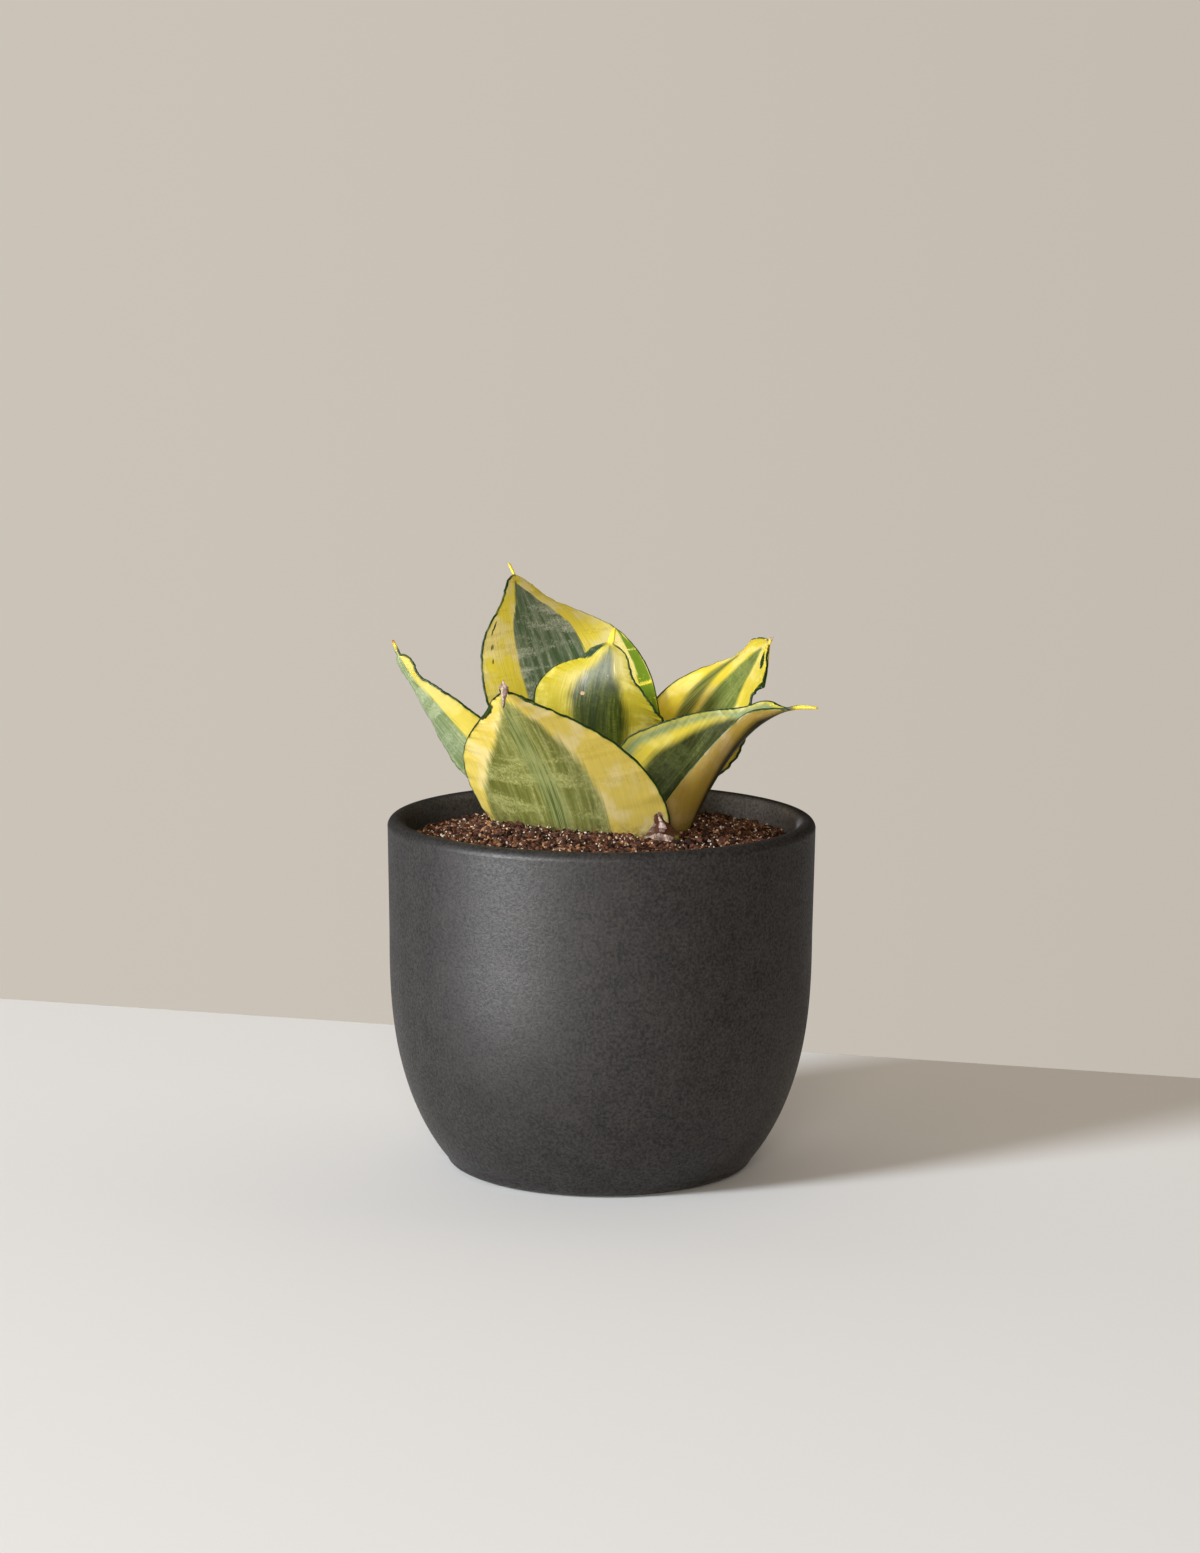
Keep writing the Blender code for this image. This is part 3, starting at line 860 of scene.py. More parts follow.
@dataclass
class Leaf:
    """One blade: a closed skin over the middle surface, thick at the keel, with a beaded horny margin."""

    name: str
    shape: LeafShape
    look: BladeLook
    skin: LeafSkin
    place: Array
    seed: int
    soil_top: float

    def foot_shares(self, s: Array) -> Array:
        """Lengthwise share at which each crosswise share leaves the flat foot, found on a fine line."""
        t = np.linspace(self.skin.below_foot, 0.4, 500)
        height = self.shape.surface(*np.meshgrid(t, s, indexing="ij"))[..., 2]
        first = np.argmax(height > self.skin.foot_gap, axis=0)
        before = np.maximum(first - 1, 0)
        above, below = height[first, range(len(s))], height[before, range(len(s))]
        share = np.where(first > 0, (self.skin.foot_gap - below) / np.maximum(above - below, 1e-9), 0.0)
        return t[before] + share * (t[1] - t[0])

    def grid(self) -> tuple[Array, Array]:
        """Lengthwise and crosswise shares: closer together near the tip and the margins."""
        x = np.linspace(-1, 1, self.skin.columns)
        s = (1 - self.skin.crowd_sides) * x + self.skin.crowd_sides * np.sin(np.pi / 2 * x)
        u = np.linspace(0, 1, self.skin.rows)
        u = (1 - self.skin.crowd_tip) * u + self.skin.crowd_tip * np.sin(np.pi / 2 * u)
        start = self.foot_shares(s)[None, :]
        return start + (1 - start) * u[:, None], np.broadcast_to(s, (len(u), len(s)))

    def middle(self, t: Array, s: Array) -> Array:
        """Middle surface with the margins' fine ripple, drawn in by the bead's radius."""
        reach = self.shape.half_widths(t)
        bead = np.minimum(self.skin.margin_half + self.skin.bead, 0.45 * reach)
        drawn = s * (1 - bead / reach)
        points = self.shape.surface(t, drawn)
        normal = normals(points)
        swing = self.skin.waver * ripple(60 * t + 3 * np.sign(s), self.seed)
        swing = swing * np.abs(s) ** 6 * np.clip((1 - t) / 0.1, 0, 1)
        return points + normal * swing[..., None]

    def build(self, effects: Effects) -> Object:
        """Carry a closed section along the blade.

        The section runs over the outer face, round one margin, back over the inner face and round the
        other margin. Half thickness = margin half + (keel half - margin half)(1 - e^(-d/6)) + bead
        e^(-(d/0.7)^2), with d the distance from the margin.
        """
        skin = self.skin
        t, s = self.grid()
        middle = self.middle(t, s)
        normal = normals(middle)
        reach = self.shape.reach(t, s)
        margin = (1 - np.abs(s)) * reach
        half = skin.margin_half + (skin.keel_half - skin.margin_half) * (1 - np.exp(-margin / 6))
        beads = 1 + 0.35 * ripple(95 * t + 5 * np.sign(s), self.seed + 50)
        half = half + skin.bead * beads * np.exp(-((margin / 0.7) ** 2))
        half = np.minimum(half, 0.8 * reach.max(axis=1, keepdims=True))
        half = half * np.sqrt(np.clip((1.002 - t) / 0.012, 0.02, 1))
        turn = np.linspace(0, np.pi, skin.edge_steps + 2)[1:-1]
        rings = [middle + normal * half[..., None]]
        rings.append(self._edge(middle, normal, half, -1, turn))
        rings.append((middle - normal * half[..., None])[:, ::-1])
        rings.append(self._edge(middle, normal, half, 0, turn[::-1]))
        points = np.concatenate(rings, axis=1) + self.place
        shares = self._loop_shares(t, s, len(turn))
        rows, columns = points.shape[:2]
        faces = [grid_faces(rows, columns, wrap_columns=True)[:, ::-1]] + self._caps(rows, columns)
        mesh = make_mesh(self.name, points.reshape(-1, 3), faces)
        self._mark(mesh, *shares)
        tissue = BladeTissue(self.name, self.look, self.soil_top).build(effects)
        return add_piece(f"{self.name}_blade", mesh, tissue, [self.name])

    @staticmethod
    def _edge(middle: Array, normal: Array, half: Array, end: int, turn: Array) -> Array:
        """Half circle round a margin: middle + half (cos a normal + sin a outward).

        Args:
            middle: middle surface of the blade.
            normal: its normals.
            half: half thickness at each place.
            end: 0 for the first margin, -1 for the last.
            turn: angles a round the half circle.

        Returns:
            Points, one ring for each row of the blade.
        """
        inner = 1 if end == 0 else -2
        outward = unit(middle[:, end] - middle[:, inner])[:, None]
        wheel = turn[None, :, None]
        spoke = np.cos(wheel) * normal[:, end][:, None] + np.sin(wheel) * outward
        return middle[:, end][:, None] + half[:, end][:, None, None] * spoke

    @staticmethod
    def _loop_shares(t: Array, s: Array, edge: int) -> tuple[Array, ...]:
        """Lengthwise share, crosswise share and face (1 outer, -1 inner) all round the section."""
        last, first = np.repeat(t[:, -1:], edge, 1), np.repeat(t[:, :1], edge, 1)
        along = np.concatenate([t, last, t[:, ::-1], first], axis=1)
        across = np.concatenate([s, np.ones_like(last), s[:, ::-1], -np.ones_like(first)], axis=1)
        face = np.concatenate([np.ones_like(t), 0 * last, -np.ones_like(t), 0 * first], axis=1)
        return along, across, face

    def _caps(self, rows: int, columns: int) -> list[Array]:
        """Close the foot and the tip: strips between the two faces, and one face over each margin."""
        wide, edge = self.skin.columns, self.skin.edge_steps
        front = np.arange(wide)
        back = 2 * wide + edge - 1 - front
        strip = np.stack([front[:-1], front[1:], back[1:], back[:-1]], -1)
        right = np.concatenate([[wide - 1], np.arange(wide, wide + edge), [wide + edge]])[None, :]
        left = np.concatenate([[2 * wide + edge - 1], np.arange(2 * wide + edge, columns), [0]])[None, :]
        tip = (rows - 1) * columns
        foot = [strip, right, left]
        return foot + [part[:, ::-1] + tip for part in foot]

    def _mark(self, mesh: Mesh, t: Array, s: Array, face: Array) -> None:
        """Store what the finish reads.

        "grain" is the place along and across the blade, "stripes" the distances inside the three stripes,
        "edges" the distance from the margin, t and the dark marks, "side" the face, s and the scars.
        """
        reach = self.shape.reach(t, s)
        keel = self.shape.surface(np.linspace(0, 1, 200), np.zeros(200))
        length = float(np.linalg.norm(np.diff(keel, axis=0), axis=1).sum())
        fixed = self.shape.half_widths(np.clip(t, 0, 0.8)) * s
        grain = np.stack([fixed, t * length, self.seed + 1.5 * face], -1)
        look = self.look
        stripes = [stripe.inside(t, s, reach, length) for stripe in (look.band, look.second, look.fringe)]
        marks, scars = (
            np.max([np.full_like(t, -1.0), *(spot.inside(t, s, reach, length) for spot in spots)], axis=0)
            for spots in (look.dark_marks, look.scars)
        )
        margin = (1 - np.abs(s)) * reach
        add_attribute(mesh, "grain", grain)
        add_attribute(mesh, "stripes", np.stack(stripes, -1))
        add_attribute(mesh, "edges", np.stack([margin, t, marks], -1))
        add_attribute(mesh, "side", np.stack([face, s, scars], -1))


LEAVES: dict[str, tuple[LeafShape, BladeLook]] = {
    "leaf_back": (
        LeafShape(
            spine=((-4.5, 17.5, -0.5), (-5, 19.5, 39), (-21, 38.5, 74.5), (-29.5, 41.5, 91.5)),
            half_width=31, skew=0.04, foot=0.40, widest_at=0.51, shoulder=1.6, taper=0.44,
            cup=(37, 22, -11), facing=(-93, -73), roll=(-2, 66), wave=(-3.9, 3.0, -70), waist=0.2,
        ),
        BladeLook(
            band=Stripe(
                ((0.0, -0.3, 0.3), (0.5, -0.42, 0.42), (0.7, -0.5, 0.56), (0.78, -0.52, 0.52),
                 (0.84, -0.52, 0.25), (0.89, -0.45, -0.3)),
                top=0.9,
            ),
            fringe=Stripe(
                ((0.15, 0.84, 1.0), (0.4, 0.84, 1.0), (0.55, 0.9, 1.0), (0.66, 1.0, 1.0)),
                top=0.66,
            ),
            dark_marks=(
                Spot(0.72, -0.9, 2.6, 0.5), Spot(0.655, -0.86, 1.7, 0.45), Spot(0.61, -0.84, 1.1, 0.4),
                Spot(0.55, -0.8, 2.6, 0.3),
            ),
            scars=(Spot(0.6, -0.62, 0.3, 0.3),),
            green=colour(84, 108, 74), pale=colour(204, 212, 192), bars=1.0, fray=0.8, soft=0.5,
            yellow=colour(252, 234, 84), cream=colour(255, 240, 160),
        ),
    ),
    "leaf_middle": (
        LeafShape(
            spine=((1.5, 3, 0), (-6, 29, 50.5), (-2.5, 8, 50.5), (3.5, 17, 74.5)),
            half_width=21.3, skew=0.09, foot=0.18, widest_at=0.64, shoulder=1.15, taper=0.54,
            cup=(46, 25, -12), facing=(-72, -93), roll=(10, -37), wave=(3.3, 2.3, -214), waist=0.22,
        ),
        BladeLook(
            band=Stripe(
                ((0.0, -0.3, 0.6), (0.4, -0.3, 0.55), (0.6, -0.42, 0.48), (0.75, -0.34, 0.45),
                 (0.86, -0.12, 0.38), (0.93, 0.05, 0.25)),
                top=0.95,
            ),
            dark_marks=(Spot(0.875, -0.95, 5.0, 3.2),),
            scars=(Spot(0.62, -0.22, 1.1, 0.8), Spot(0.77, 0.2, 0.35, 0.35)),
            # Painted shade: the blade's right (s > 0) side is darkened where it turns from the light.
            right=colour(224, 222, 224),
            green=colour(38, 50, 4), pale=colour(104, 112, 30), bars=0.4, fray=1.2, soft=2.4, cream_low=0.5,
            yellow=colour(188, 172, 44), cream=colour(216, 202, 96),
        ),
    ),
    "leaf_front": (
        LeafShape(
            spine=((-8, -12.5, -2.5), (-11.5, -22.5, 39), (-30.5, -48, 63), (-29, -48, 65.5)),
            half_width=35, skew=0.03, foot=0.68, widest_at=0.23, shoulder=1.75, taper=1.88,
            cup=(34, 21, -20), facing=(72, 82), roll=(-14, -17), wave=(0.0, 3.5, 0), waist=-0.35,
        ),
        BladeLook(
            band=Stripe(
                ((0.0, -0.5, 0.95), (0.2, -0.46, 0.82), (0.4, -0.45, 0.66), (0.6, -0.4, 0.5),
                 (0.72, -0.2, 0.4), (0.8, 0.2, 0.3)),
                top=0.8,
            ),
            dark_marks=(Spot(0.70, 1.0, 5.0, 1.8), Spot(0.76, -1.0, 3.0, 1.2)),
            # Painted shade: the blade's left (s < 0) side is darkened where it turns from the light.
            left=colour(204, 203, 208),
            second=Stripe(
                ((0.0, -0.1, 0.06), (0.3, -0.08, 0.1), (0.6, 0.02, 0.3), (0.74, 0.18, 0.42),
                 (0.82, 0.24, 0.34)),
                top=0.82,
            ),
            second_green=colour(74, 94, 46), second_share=0.8,
            green=colour(108, 112, 46), pale=colour(198, 198, 128), bars=0.75, fray=1.6, soft=1.6,
            yellow=colour(238, 212, 100), cream=colour(247, 226, 150), rim=0.2, tip=colour(150, 118, 104),
            tip_end=colour(120, 90, 80),
        ),
    ),
    "leaf_left": (
        LeafShape(
            spine=((-15, 1, 0), (-27.5, -5, 30.5), (-55.5, 5.5, 49), (-64, 7, 71.5)),
            half_width=11.7, skew=-0.05, foot=0.16, widest_at=0.69, shoulder=1.7, taper=0.35,
            cup=(21, 39, 0), facing=(12, -4), roll=(22, 30), wave=(2.9, 2.95, 32), waist=0.31,
        ),
        BladeLook(
            band=Stripe(
                ((0.0, -0.5, 0.9), (0.5, -0.42, 1.1), (0.8, -0.42, 1.3), (0.93, -0.3, 1.3)),
                top=0.97,
            ),
            tip_from=0.965,
            green=colour(106, 124, 76), pale=colour(180, 188, 150), yellow=colour(208, 188, 76),
            cream=colour(216, 200, 108), bars=0.8, fray=1.4,
            tip_end=colour(150, 96, 40),
        ),
    ),
    "leaf_right_back": (
        LeafShape(
            spine=((13, 20, -1), (16, 36.5, 35.5), (52, 32.5, 63), (52, 30, 70)),
            half_width=24.6, skew=0.26, foot=0.40, widest_at=0.44, shoulder=2.15, taper=0.53,
            cup=(39, 33, -9), facing=(-120, -135), roll=(-14, -49), wave=(4.1, 3.0, 34), waist=-0.47,
        ),
        BladeLook(
            band=Stripe(
                ((0.0, -0.1, 0.5), (0.5, -0.22, 0.5), (0.6, -0.27, 0.45), (0.7, -0.27, 0.3),
                 (0.84, -0.12, 0.03)),
                top=0.86,
            ),
            second=Stripe(
                ((0.0, -0.5, -0.2), (0.42, -0.5, -0.24), (0.5, -0.62, -0.34), (0.6, -0.74, -0.5),
                 (0.7, -0.8, -0.66)),
                top=0.72,
            ),
            dark_marks=(
                Spot(0.845, 0.45, 3.4, 3.4), Spot(0.84, -0.97, 4.0, 2.4), Spot(0.81, 0.97, 4.5, 2.4),
                Spot(0.7, 1.0, 10.0, 1.1),
            ),
            green=colour(88, 104, 46), pale=colour(162, 168, 92), second_green=colour(60, 78, 40),
            second_share=0.9, bars=0.6, fray=1.0, soft=1.3,
            yellow=colour(226, 202, 62), cream=colour(234, 216, 118), cream_low=0.47,
        ),
    ),
    "leaf_right_front": (
        LeafShape(
            spine=((16, 1, 0), (26, -2, 24.5), (37, -22.5, 31.5), (38.5, -19, 57.5), (63.5, -35.5, 57.5)),
            half_width=27.8, skew=-0.24, foot=0.32, widest_at=0.33, shoulder=1.17, taper=1.16,
            cup=(91, 98, 67), facing=(-127, -168), roll=(6, -53), wave=(0.9, 3.9, -122), waist=-0.53,
            lift=0.5,
        ),
        BladeLook(
            band=Stripe(
                ((0.0, -0.7, 0.35), (0.4, -0.75, 0.35), (0.7, -0.84, 0.4), (0.8, -0.9, 0.5),
                 (0.88, -0.3, 0.3)),
                top=0.92,
            ),
            second=Stripe(
                ((0.0, -0.97, -0.88), (0.3, -0.97, -0.88), (0.62, -0.98, -0.88), (0.72, -0.95, -0.6),
                 (0.8, -0.9, 0.0), (0.9, -0.6, 0.2)),
                top=0.9,
            ),
            # Painted shade: the near-black green, the dull yellow and cream and the darkened outer face stand
            # for the shade in this deep trough, over the leaf's own dark green and yellow.
            green=colour(38, 42, 8), pale=colour(112, 120, 66), outer=colour(182, 168, 200),
            second_green=colour(136, 150, 104), bars=0.3, fray=0.5, soft=1.6,
            yellow=colour(204, 184, 66), cream=colour(214, 198, 104), cream_low=0.5,
        ),
    ),
    "scale_leaf": (
        LeafShape(
            spine=((14, -25, 0), (17, -29, 10), (20, -32, 19), (16, -33, 25)),
            half_width=8.5, skew=0.0, foot=0.70, widest_at=0.35, shoulder=1.5, taper=0.9,
            cup=(30, 30, 15), facing=(95, 95), roll=(0, 0), wave=(0.8, 3.0, 0),
        ),
        BladeLook(
            band=Stripe(((0.0, -0.3, 0.3), (0.8, -0.2, 0.2)), top=0.75),
            green=colour(86, 92, 34), pale=colour(120, 120, 56), yellow=colour(140, 130, 50),
            cream=colour(156, 144, 70),
            tip=colour(84, 50, 36), tip_end=colour(60, 34, 26), tip_from=0.66,
        ),
    ),
}


@dataclass(frozen=True)
class DryTissue:
    """Shrivelled papery tissue, brown with pale streaks."""

    dark: Rgba = colour(88, 58, 46)
    light: Rgba = colour(206, 176, 160)

    def build(self, effects: Effects) -> Material:
        """Make the material: streaky patches in colour and bump."""
        made, bench, shader = new_material("dry_leaf_tissue", 0.7)
        place = bench.millimetres(0.4)
        patch = bench.group(effects.grit, Vector=place, Size=1.0, Low=0.35, High=0.65)
        bench.plug(shader.inputs["Base Color"], bench.mix(patch, self.dark, self.light))
        bench.bump(shader, 0.6, 0.0003, patch)
        return made


@dataclass(frozen=True)
class DryTip:
    """A shrivelled end of a leaf: where it starts on the blade, the bends of its line, its widths."""

    name: str
    leaf: str
    start: tuple[float, float]
    bends: tuple[tuple[float, float, float], ...]
    half_width: float
    half_thick: float
    twist: float
    fold: float = 0.35

    ROWS = 40
    COLUMNS = 20

    def build(self, leaf: Leaf, material: Material) -> Object:
        """Carry a folded oval along a Bezier line, turning it by the twist and pinching both ends.

        Section at angle a: (w cos a, h sin a + fold w cos 2a / 2), with w and h scaled by
        sin(pi u)^0.6 between a wide start and a fine end, and crinkled by a ripple.
        """
        at = np.array([self.start[0]]), np.array([self.start[1]])
        origin = leaf.shape.surface(*at)[0] + leaf.place
        u = np.linspace(0, 1, self.ROWS)
        line = origin + bernstein(len(self.bends) - 1, u) @ np.array(self.bends, float)
        along = unit(np.gradient(line, axis=0))
        side = unit(np.cross(along, np.array([0.3, 1.0, 0.2])))
        up = np.cross(side, along)
        turn = np.radians(self.twist) * u[:, None]
        side, up = side * np.cos(turn) + up * np.sin(turn), up * np.cos(turn) - side * np.sin(turn)
        angle = np.linspace(0, 2 * np.pi, self.COLUMNS, endpoint=False)[None, :]
        swell = np.sin(np.pi * (0.12 + 0.86 * u)) ** 0.6 * (1 + 0.22 * ripple(14 * u, leaf.seed))
        swell = swell[:, None]
        crinkle = 1 + 0.15 * ripple(6 * angle + 9 * u[:, None], leaf.seed + 9)
        wide = self.half_width * swell * np.cos(angle) * crinkle
        thick = self.half_thick * swell * np.sin(angle)
        thick = thick + self.fold * self.half_width * swell * np.cos(2 * angle) / 2
        points = line[:, None] + side[:, None] * wide[..., None] + up[:, None] * thick[..., None]
        ring = np.arange(self.COLUMNS)[None]
        faces = [grid_faces(self.ROWS, self.COLUMNS, wrap_columns=True), ring[:, ::-1]]
        faces.append(ring + (self.ROWS - 1) * self.COLUMNS)
        mesh = make_mesh(self.name, points.reshape(-1, 3), faces)
        return add_piece(self.name, mesh, material)


DRY_TIPS = (
    DryTip(
        "front_dry_tip", "leaf_front", (0.90, 0.0),
        ((0, 0, -1), (0.6, -1.4, 3.2), (0.2, -2.2, -0.8), (0.0, -1.9, -5.2)), 0.95, 0.35, 60,
    ),
    DryTip(
        "front_dry_prong", "leaf_front", (0.92, 0.0),
        ((0, 0, -0.8), (0.3, -0.3, 1.2), (-0.2, -0.5, 2.6)), 0.5, 0.25, 30,
    ),
    DryTip(
        "right_dry_tip", "leaf_right_back", (0.95, 0.0),
        ((-0.6, 0, -0.8), (0.2, -0.6, 0.8), (1.2, -0.8, 1.6)), 0.6, 0.3, 90,
    ),
    DryTip(
        "scale_dry_tip", "scale_leaf", (0.80, 0.0),
        ((0, 0, -1.5), (0.6, -0.8, 2.0), (-0.8, -0.6, 4.6)), 1.7, 0.5, 120,
    ),
    DryTip(
        "scale_dry_fold", "scale_leaf", (0.66, 0.1),
        ((4.5, -0.6, -2.6), (1.0, -2.0, 1.4), (-4.6, -1.2, -0.4)), 1.6, 0.7, 60,
    ),
)


# Potting mix


@dataclass(frozen=True)
class LooseMix:
    """Colours of crumbled peat and bark, chosen for each crumb by its tint."""

    name: str
    dark: Rgba
    light: Rgba
    rough: float = 0.9

    def build(self, effects: Effects) -> Material:
        """Make the material: each crumb's own tint, with a fine grit over it."""
        made, bench, shader = new_material(self.name, self.rough, Specular_IOR_Level=0.1)
        tint = bench.split(bench.attribute("tint"))[0]
        place = bench.millimetres()
        grit = bench.group(effects.grit, Vector=place, Size=0.5, Low=0.35, High=0.65)
        share = bench.plus(tint, bench.times(bench.math("SUBTRACT", grit, 0.5), 0.35), clamp=True)
        bench.plug(shader.inputs["Base Color"], bench.mix(share, self.dark, self.light))
        bench.bump(shader, 0.5, 0.0002, grit)
        return made


@dataclass(frozen=True)
class PackedSoil:
    """The dark bed under the crumbs."""

    dark: Rgba = colour(34, 22, 17)
    light: Rgba = colour(84, 56, 42)

    def build(self, effects: Effects) -> Material:
        """Make the material: coarse and fine grit in colour and bump."""
        made, bench, shader = new_material("packed_soil", 0.95, Specular_IOR_Level=0.1)
        place = bench.millimetres()
        coarse = bench.group(effects.grit, Vector=place, Size=2.2, Low=0.35, High=0.65)
        fine = bench.group(effects.grit, Vector=place, Size=0.6, Low=0.35, High=0.65)
        bench.plug(shader.inputs["Base Color"], bench.mix(bench.times(fine, coarse), self.dark, self.light))
        height = bench.plus(coarse, bench.times(fine, 0.4))
        bench.bump(shader, 1.0, 0.001, height)
        return made


@dataclass(frozen=True)
class CrownTissue:
    """Pale fibrous stem tissue, under the soil."""

    pale: Rgba = colour(214, 200, 150)
    brown: Rgba = colour(150, 118, 76)

    def build(self, effects: Effects) -> Material:
        """Make the material: brown patches and fine grit on a pale ground."""
        made, bench, shader = new_material("crown_flesh", 0.7)
        place = bench.millimetres()
        patch = bench.group(effects.patches, Vector=place, Size=5.0, Low=0.4, High=0.6)
        bench.plug(shader.inputs["Base Color"], bench.mix(patch, self.pale, self.brown))
        bench.bump(shader, 0.4, 0.0004, patch)
        return made


class Crumb(Enum):
    """Base forms of the loose pieces."""

    LUMP = "lump"
    CHIP = "chip"


@dataclass(frozen=True)
class Scatter:
    """One kind of loose piece: how many, how large, how flat, how high it sits and how it is tinted."""

    name: str
    form: Crumb
    count: int
    size: tuple[float, float]
    stretch: tuple[float, float, float]
    lift: float
    tint: tuple[float, float]
    mix: LooseMix
    seed: int
    cluster: float = 0.0


@dataclass
class SoilBed:
    """Loose potting mix on the packed soil inside the pot, clear of the leaves.

    mound_radius, mound_rise, centre_rise: the CAD bed's mound and the rise of its middle.
    bed_gap: from the edge of the bed to the first crumbs.
    near_ground: how far from the ground a leaf still keeps crumbs away.
    batch: places checked at a time.
    """

    leaves: list[Leaf]
    mound_radius: float = 26.0
    centre_rise: float = 0.6
    mound_rise: float = 5.5
    bed_gap: float = 0.15
    near_ground: float = 2.0
    batch: int = 2000

    def __post_init__(self) -> None:
        """Take the bed's heights from the frame and sample the leaves near the ground."""
        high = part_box("soil")[1]
        self.at_wall = high.z / MM - self.mound_rise - self.centre_rise
        self.edge = high.x / MM - self.bed_gap
        self.obstacles = self._sample_leaves()

    def height(self, radius: Array) -> Array:
        """Ground height: a half cosine from the wall up to the mound, then a gentle rise to the centre."""
        share = np.clip((self.edge - radius) / (self.edge - self.mound_radius), 0, 1)
        slope = self.mound_rise * (0.5 - 0.5 * np.cos(np.pi * share))
        crown = self.centre_rise * np.clip(1 - radius / self.mound_radius, 0, 1)
        return self.at_wall + slope + crown

    def _sample_leaves(self) -> Array:
        """Plan positions of every leaf's middle surface within a few millimetres of the ground."""
        found = []
        for leaf in self.leaves:
            t, s = np.meshgrid(np.linspace(0, 0.6, 160), np.linspace(-1, 1, 80), indexing="ij")
            points = (leaf.shape.surface(t, s) + leaf.place).reshape(-1, 3)
            ground = self.height(np.hypot(points[:, 0], points[:, 1]))
            found.append(points[np.abs(points[:, 2] - ground) < self.near_ground][:, :2])
        return np.concatenate(found)

    def places(self, scatter: Scatter, draw: np.random.Generator, size: Array) -> Array:
        """Choose plan positions that are evenly random over the bed and keep off the wall and the leaves.

        Args:
            scatter: the kind of piece.
            draw: the random generator.
            size: radius of each piece.

        Returns:
            x and y of each piece, with nan where it has no room.
        """
        radius = (self.edge - 0.6) * np.sqrt(draw.random(len(size)))
        angle = draw.random(len(size)) * 2 * np.pi
        spots = np.stack([radius * np.cos(angle), radius * np.sin(angle)], -1)
        spots[radius + 0.7 * size > self.edge] = np.nan
        for start in range(0, len(spots), self.batch):
            part = spots[start:start + self.batch]
            gap = np.sqrt(((part[:, None] - self.obstacles[None]) ** 2).sum(-1)).min(axis=1)
            part[~(gap > size[start:start + self.batch] * 0.8 + 0.8)] = np.nan
        if scatter.cluster:
            share = 0.5 + 0.5 * np.sin(spots[:, 0] / 9 + scatter.seed) * np.cos(spots[:, 1] / 7)
            spots[draw.random(len(spots)) < scatter.cluster * share] = np.nan
        return spots

    @staticmethod
    def lump() -> tuple[Array, Array]:
        """Twelve points of an icosahedron, (0, +-1, +-g) and its turns, and its twenty faces."""
        g = (1 + math.sqrt(5)) / 2
        base = np.array([(-1, g, 0), (1, g, 0), (-1, -g, 0), (1, -g, 0)], float)
        points = np.concatenate([base, np.roll(base, 1, axis=1), np.roll(base, 2, axis=1)]) / math.hypot(1, g)
        near = np.linalg.norm(points[:, None] - points[None], axis=-1) < 1.2
        triples = ((i, j, k) for i in range(12) for j in range(i) for k in range(j))
        corners = np.array([(i, j, k) for i, j, k in triples if near[i, j] and near[j, k] and near[i, k]])
        first, second, third = (points[corners[:, i]] for i in range(3))
        normal = np.cross(second - first, third - first)
        turned = (normal * points[corners].mean(axis=1)).sum(-1) < 0
        corners[turned] = corners[turned][:, ::-1]
        return points, corners

    @staticmethod
    def chip() -> tuple[Array, Array]:
        """A bent splinter: four square rings along x, z bent by -0.25 x^2, pinched ends, closed."""
        along = np.array([-1.0, -0.35, 0.4, 1.0])[:, None]
        width = np.array([0.45, 1.0, 0.9, 0.35])[:, None]
        corner_y = np.array([-1.0, 1.0, 1.0, -1.0])[None, :] * width
        corner_z = np.array([-1.0, -1.0, 1.0, 1.0])[None, :] * width - 0.25 * along**2
        points = np.stack([along + 0 * corner_y, corner_y, corner_z], -1).reshape(-1, 3)
        sides = grid_faces(4, 4, wrap_columns=True)
        ends = np.array([[3, 2, 1, 0], [12, 13, 14, 15]])
        return points, np.concatenate([sides, ends])

    def build_scatter(self, scatter: Scatter, effects: Effects) -> Object:
        """Copy a base form to every place: jitter, stretch, turn and move whole arrays at once."""
        draw = np.random.default_rng(scatter.seed)
        base, faces = self.lump() if scatter.form is Crumb.LUMP else self.chip()
        size = draw.uniform(*scatter.size, scatter.count)
        spots = self.places(scatter, draw, size)
        kept = ~np.isnan(spots[:, 0])
        spots, size = spots[kept], size[kept]
        count = len(size)
        shape = base[None] * draw.uniform(0.72, 1.25, (count, len(base), 1))
        shape = shape * (np.array(scatter.stretch) * draw.uniform(0.75, 1.3, (count, 3)))[:, None, :]
        lean = 0.5 if scatter.form is Crumb.CHIP else np.pi
        shape = shape @ self._turns(draw, count, lean)
        ground = self.height(np.hypot(spots[:, 0], spots[:, 1]))
        sit = ground + size * scatter.lift + draw.uniform(-0.25, 0.35, count)
        points = shape * size[:, None, None] + np.column_stack([spots, sit])[:, None, :]
        corners = faces[None] + np.arange(count)[:, None, None] * len(base)
        corners = corners.reshape(-1, faces.shape[1])
        mesh = make_mesh(scatter.name, points.reshape(-1, 3), [corners], smooth=False)
        tint = draw.uniform(*scatter.tint, count) ** 1.5
        add_attribute(mesh, "tint", np.repeat(tint, len(base))[:, None] * np.ones(3))
        return add_piece(scatter.name, mesh, scatter.mix.build(effects))

    @staticmethod
    def _turns(draw: np.random.Generator, count: int, lean: float) -> Array:
        """Turn matrices: any angle about Z, then up to the lean about X and Y."""
        spin, tip_x, tip_y = draw.uniform(-np.pi, np.pi, count), *draw.uniform(-lean, lean, (2, count))
        x, y, z = (turns_about(axis, angle) for axis, angle in enumerate((tip_x, tip_y, spin)))
        return x @ y @ z

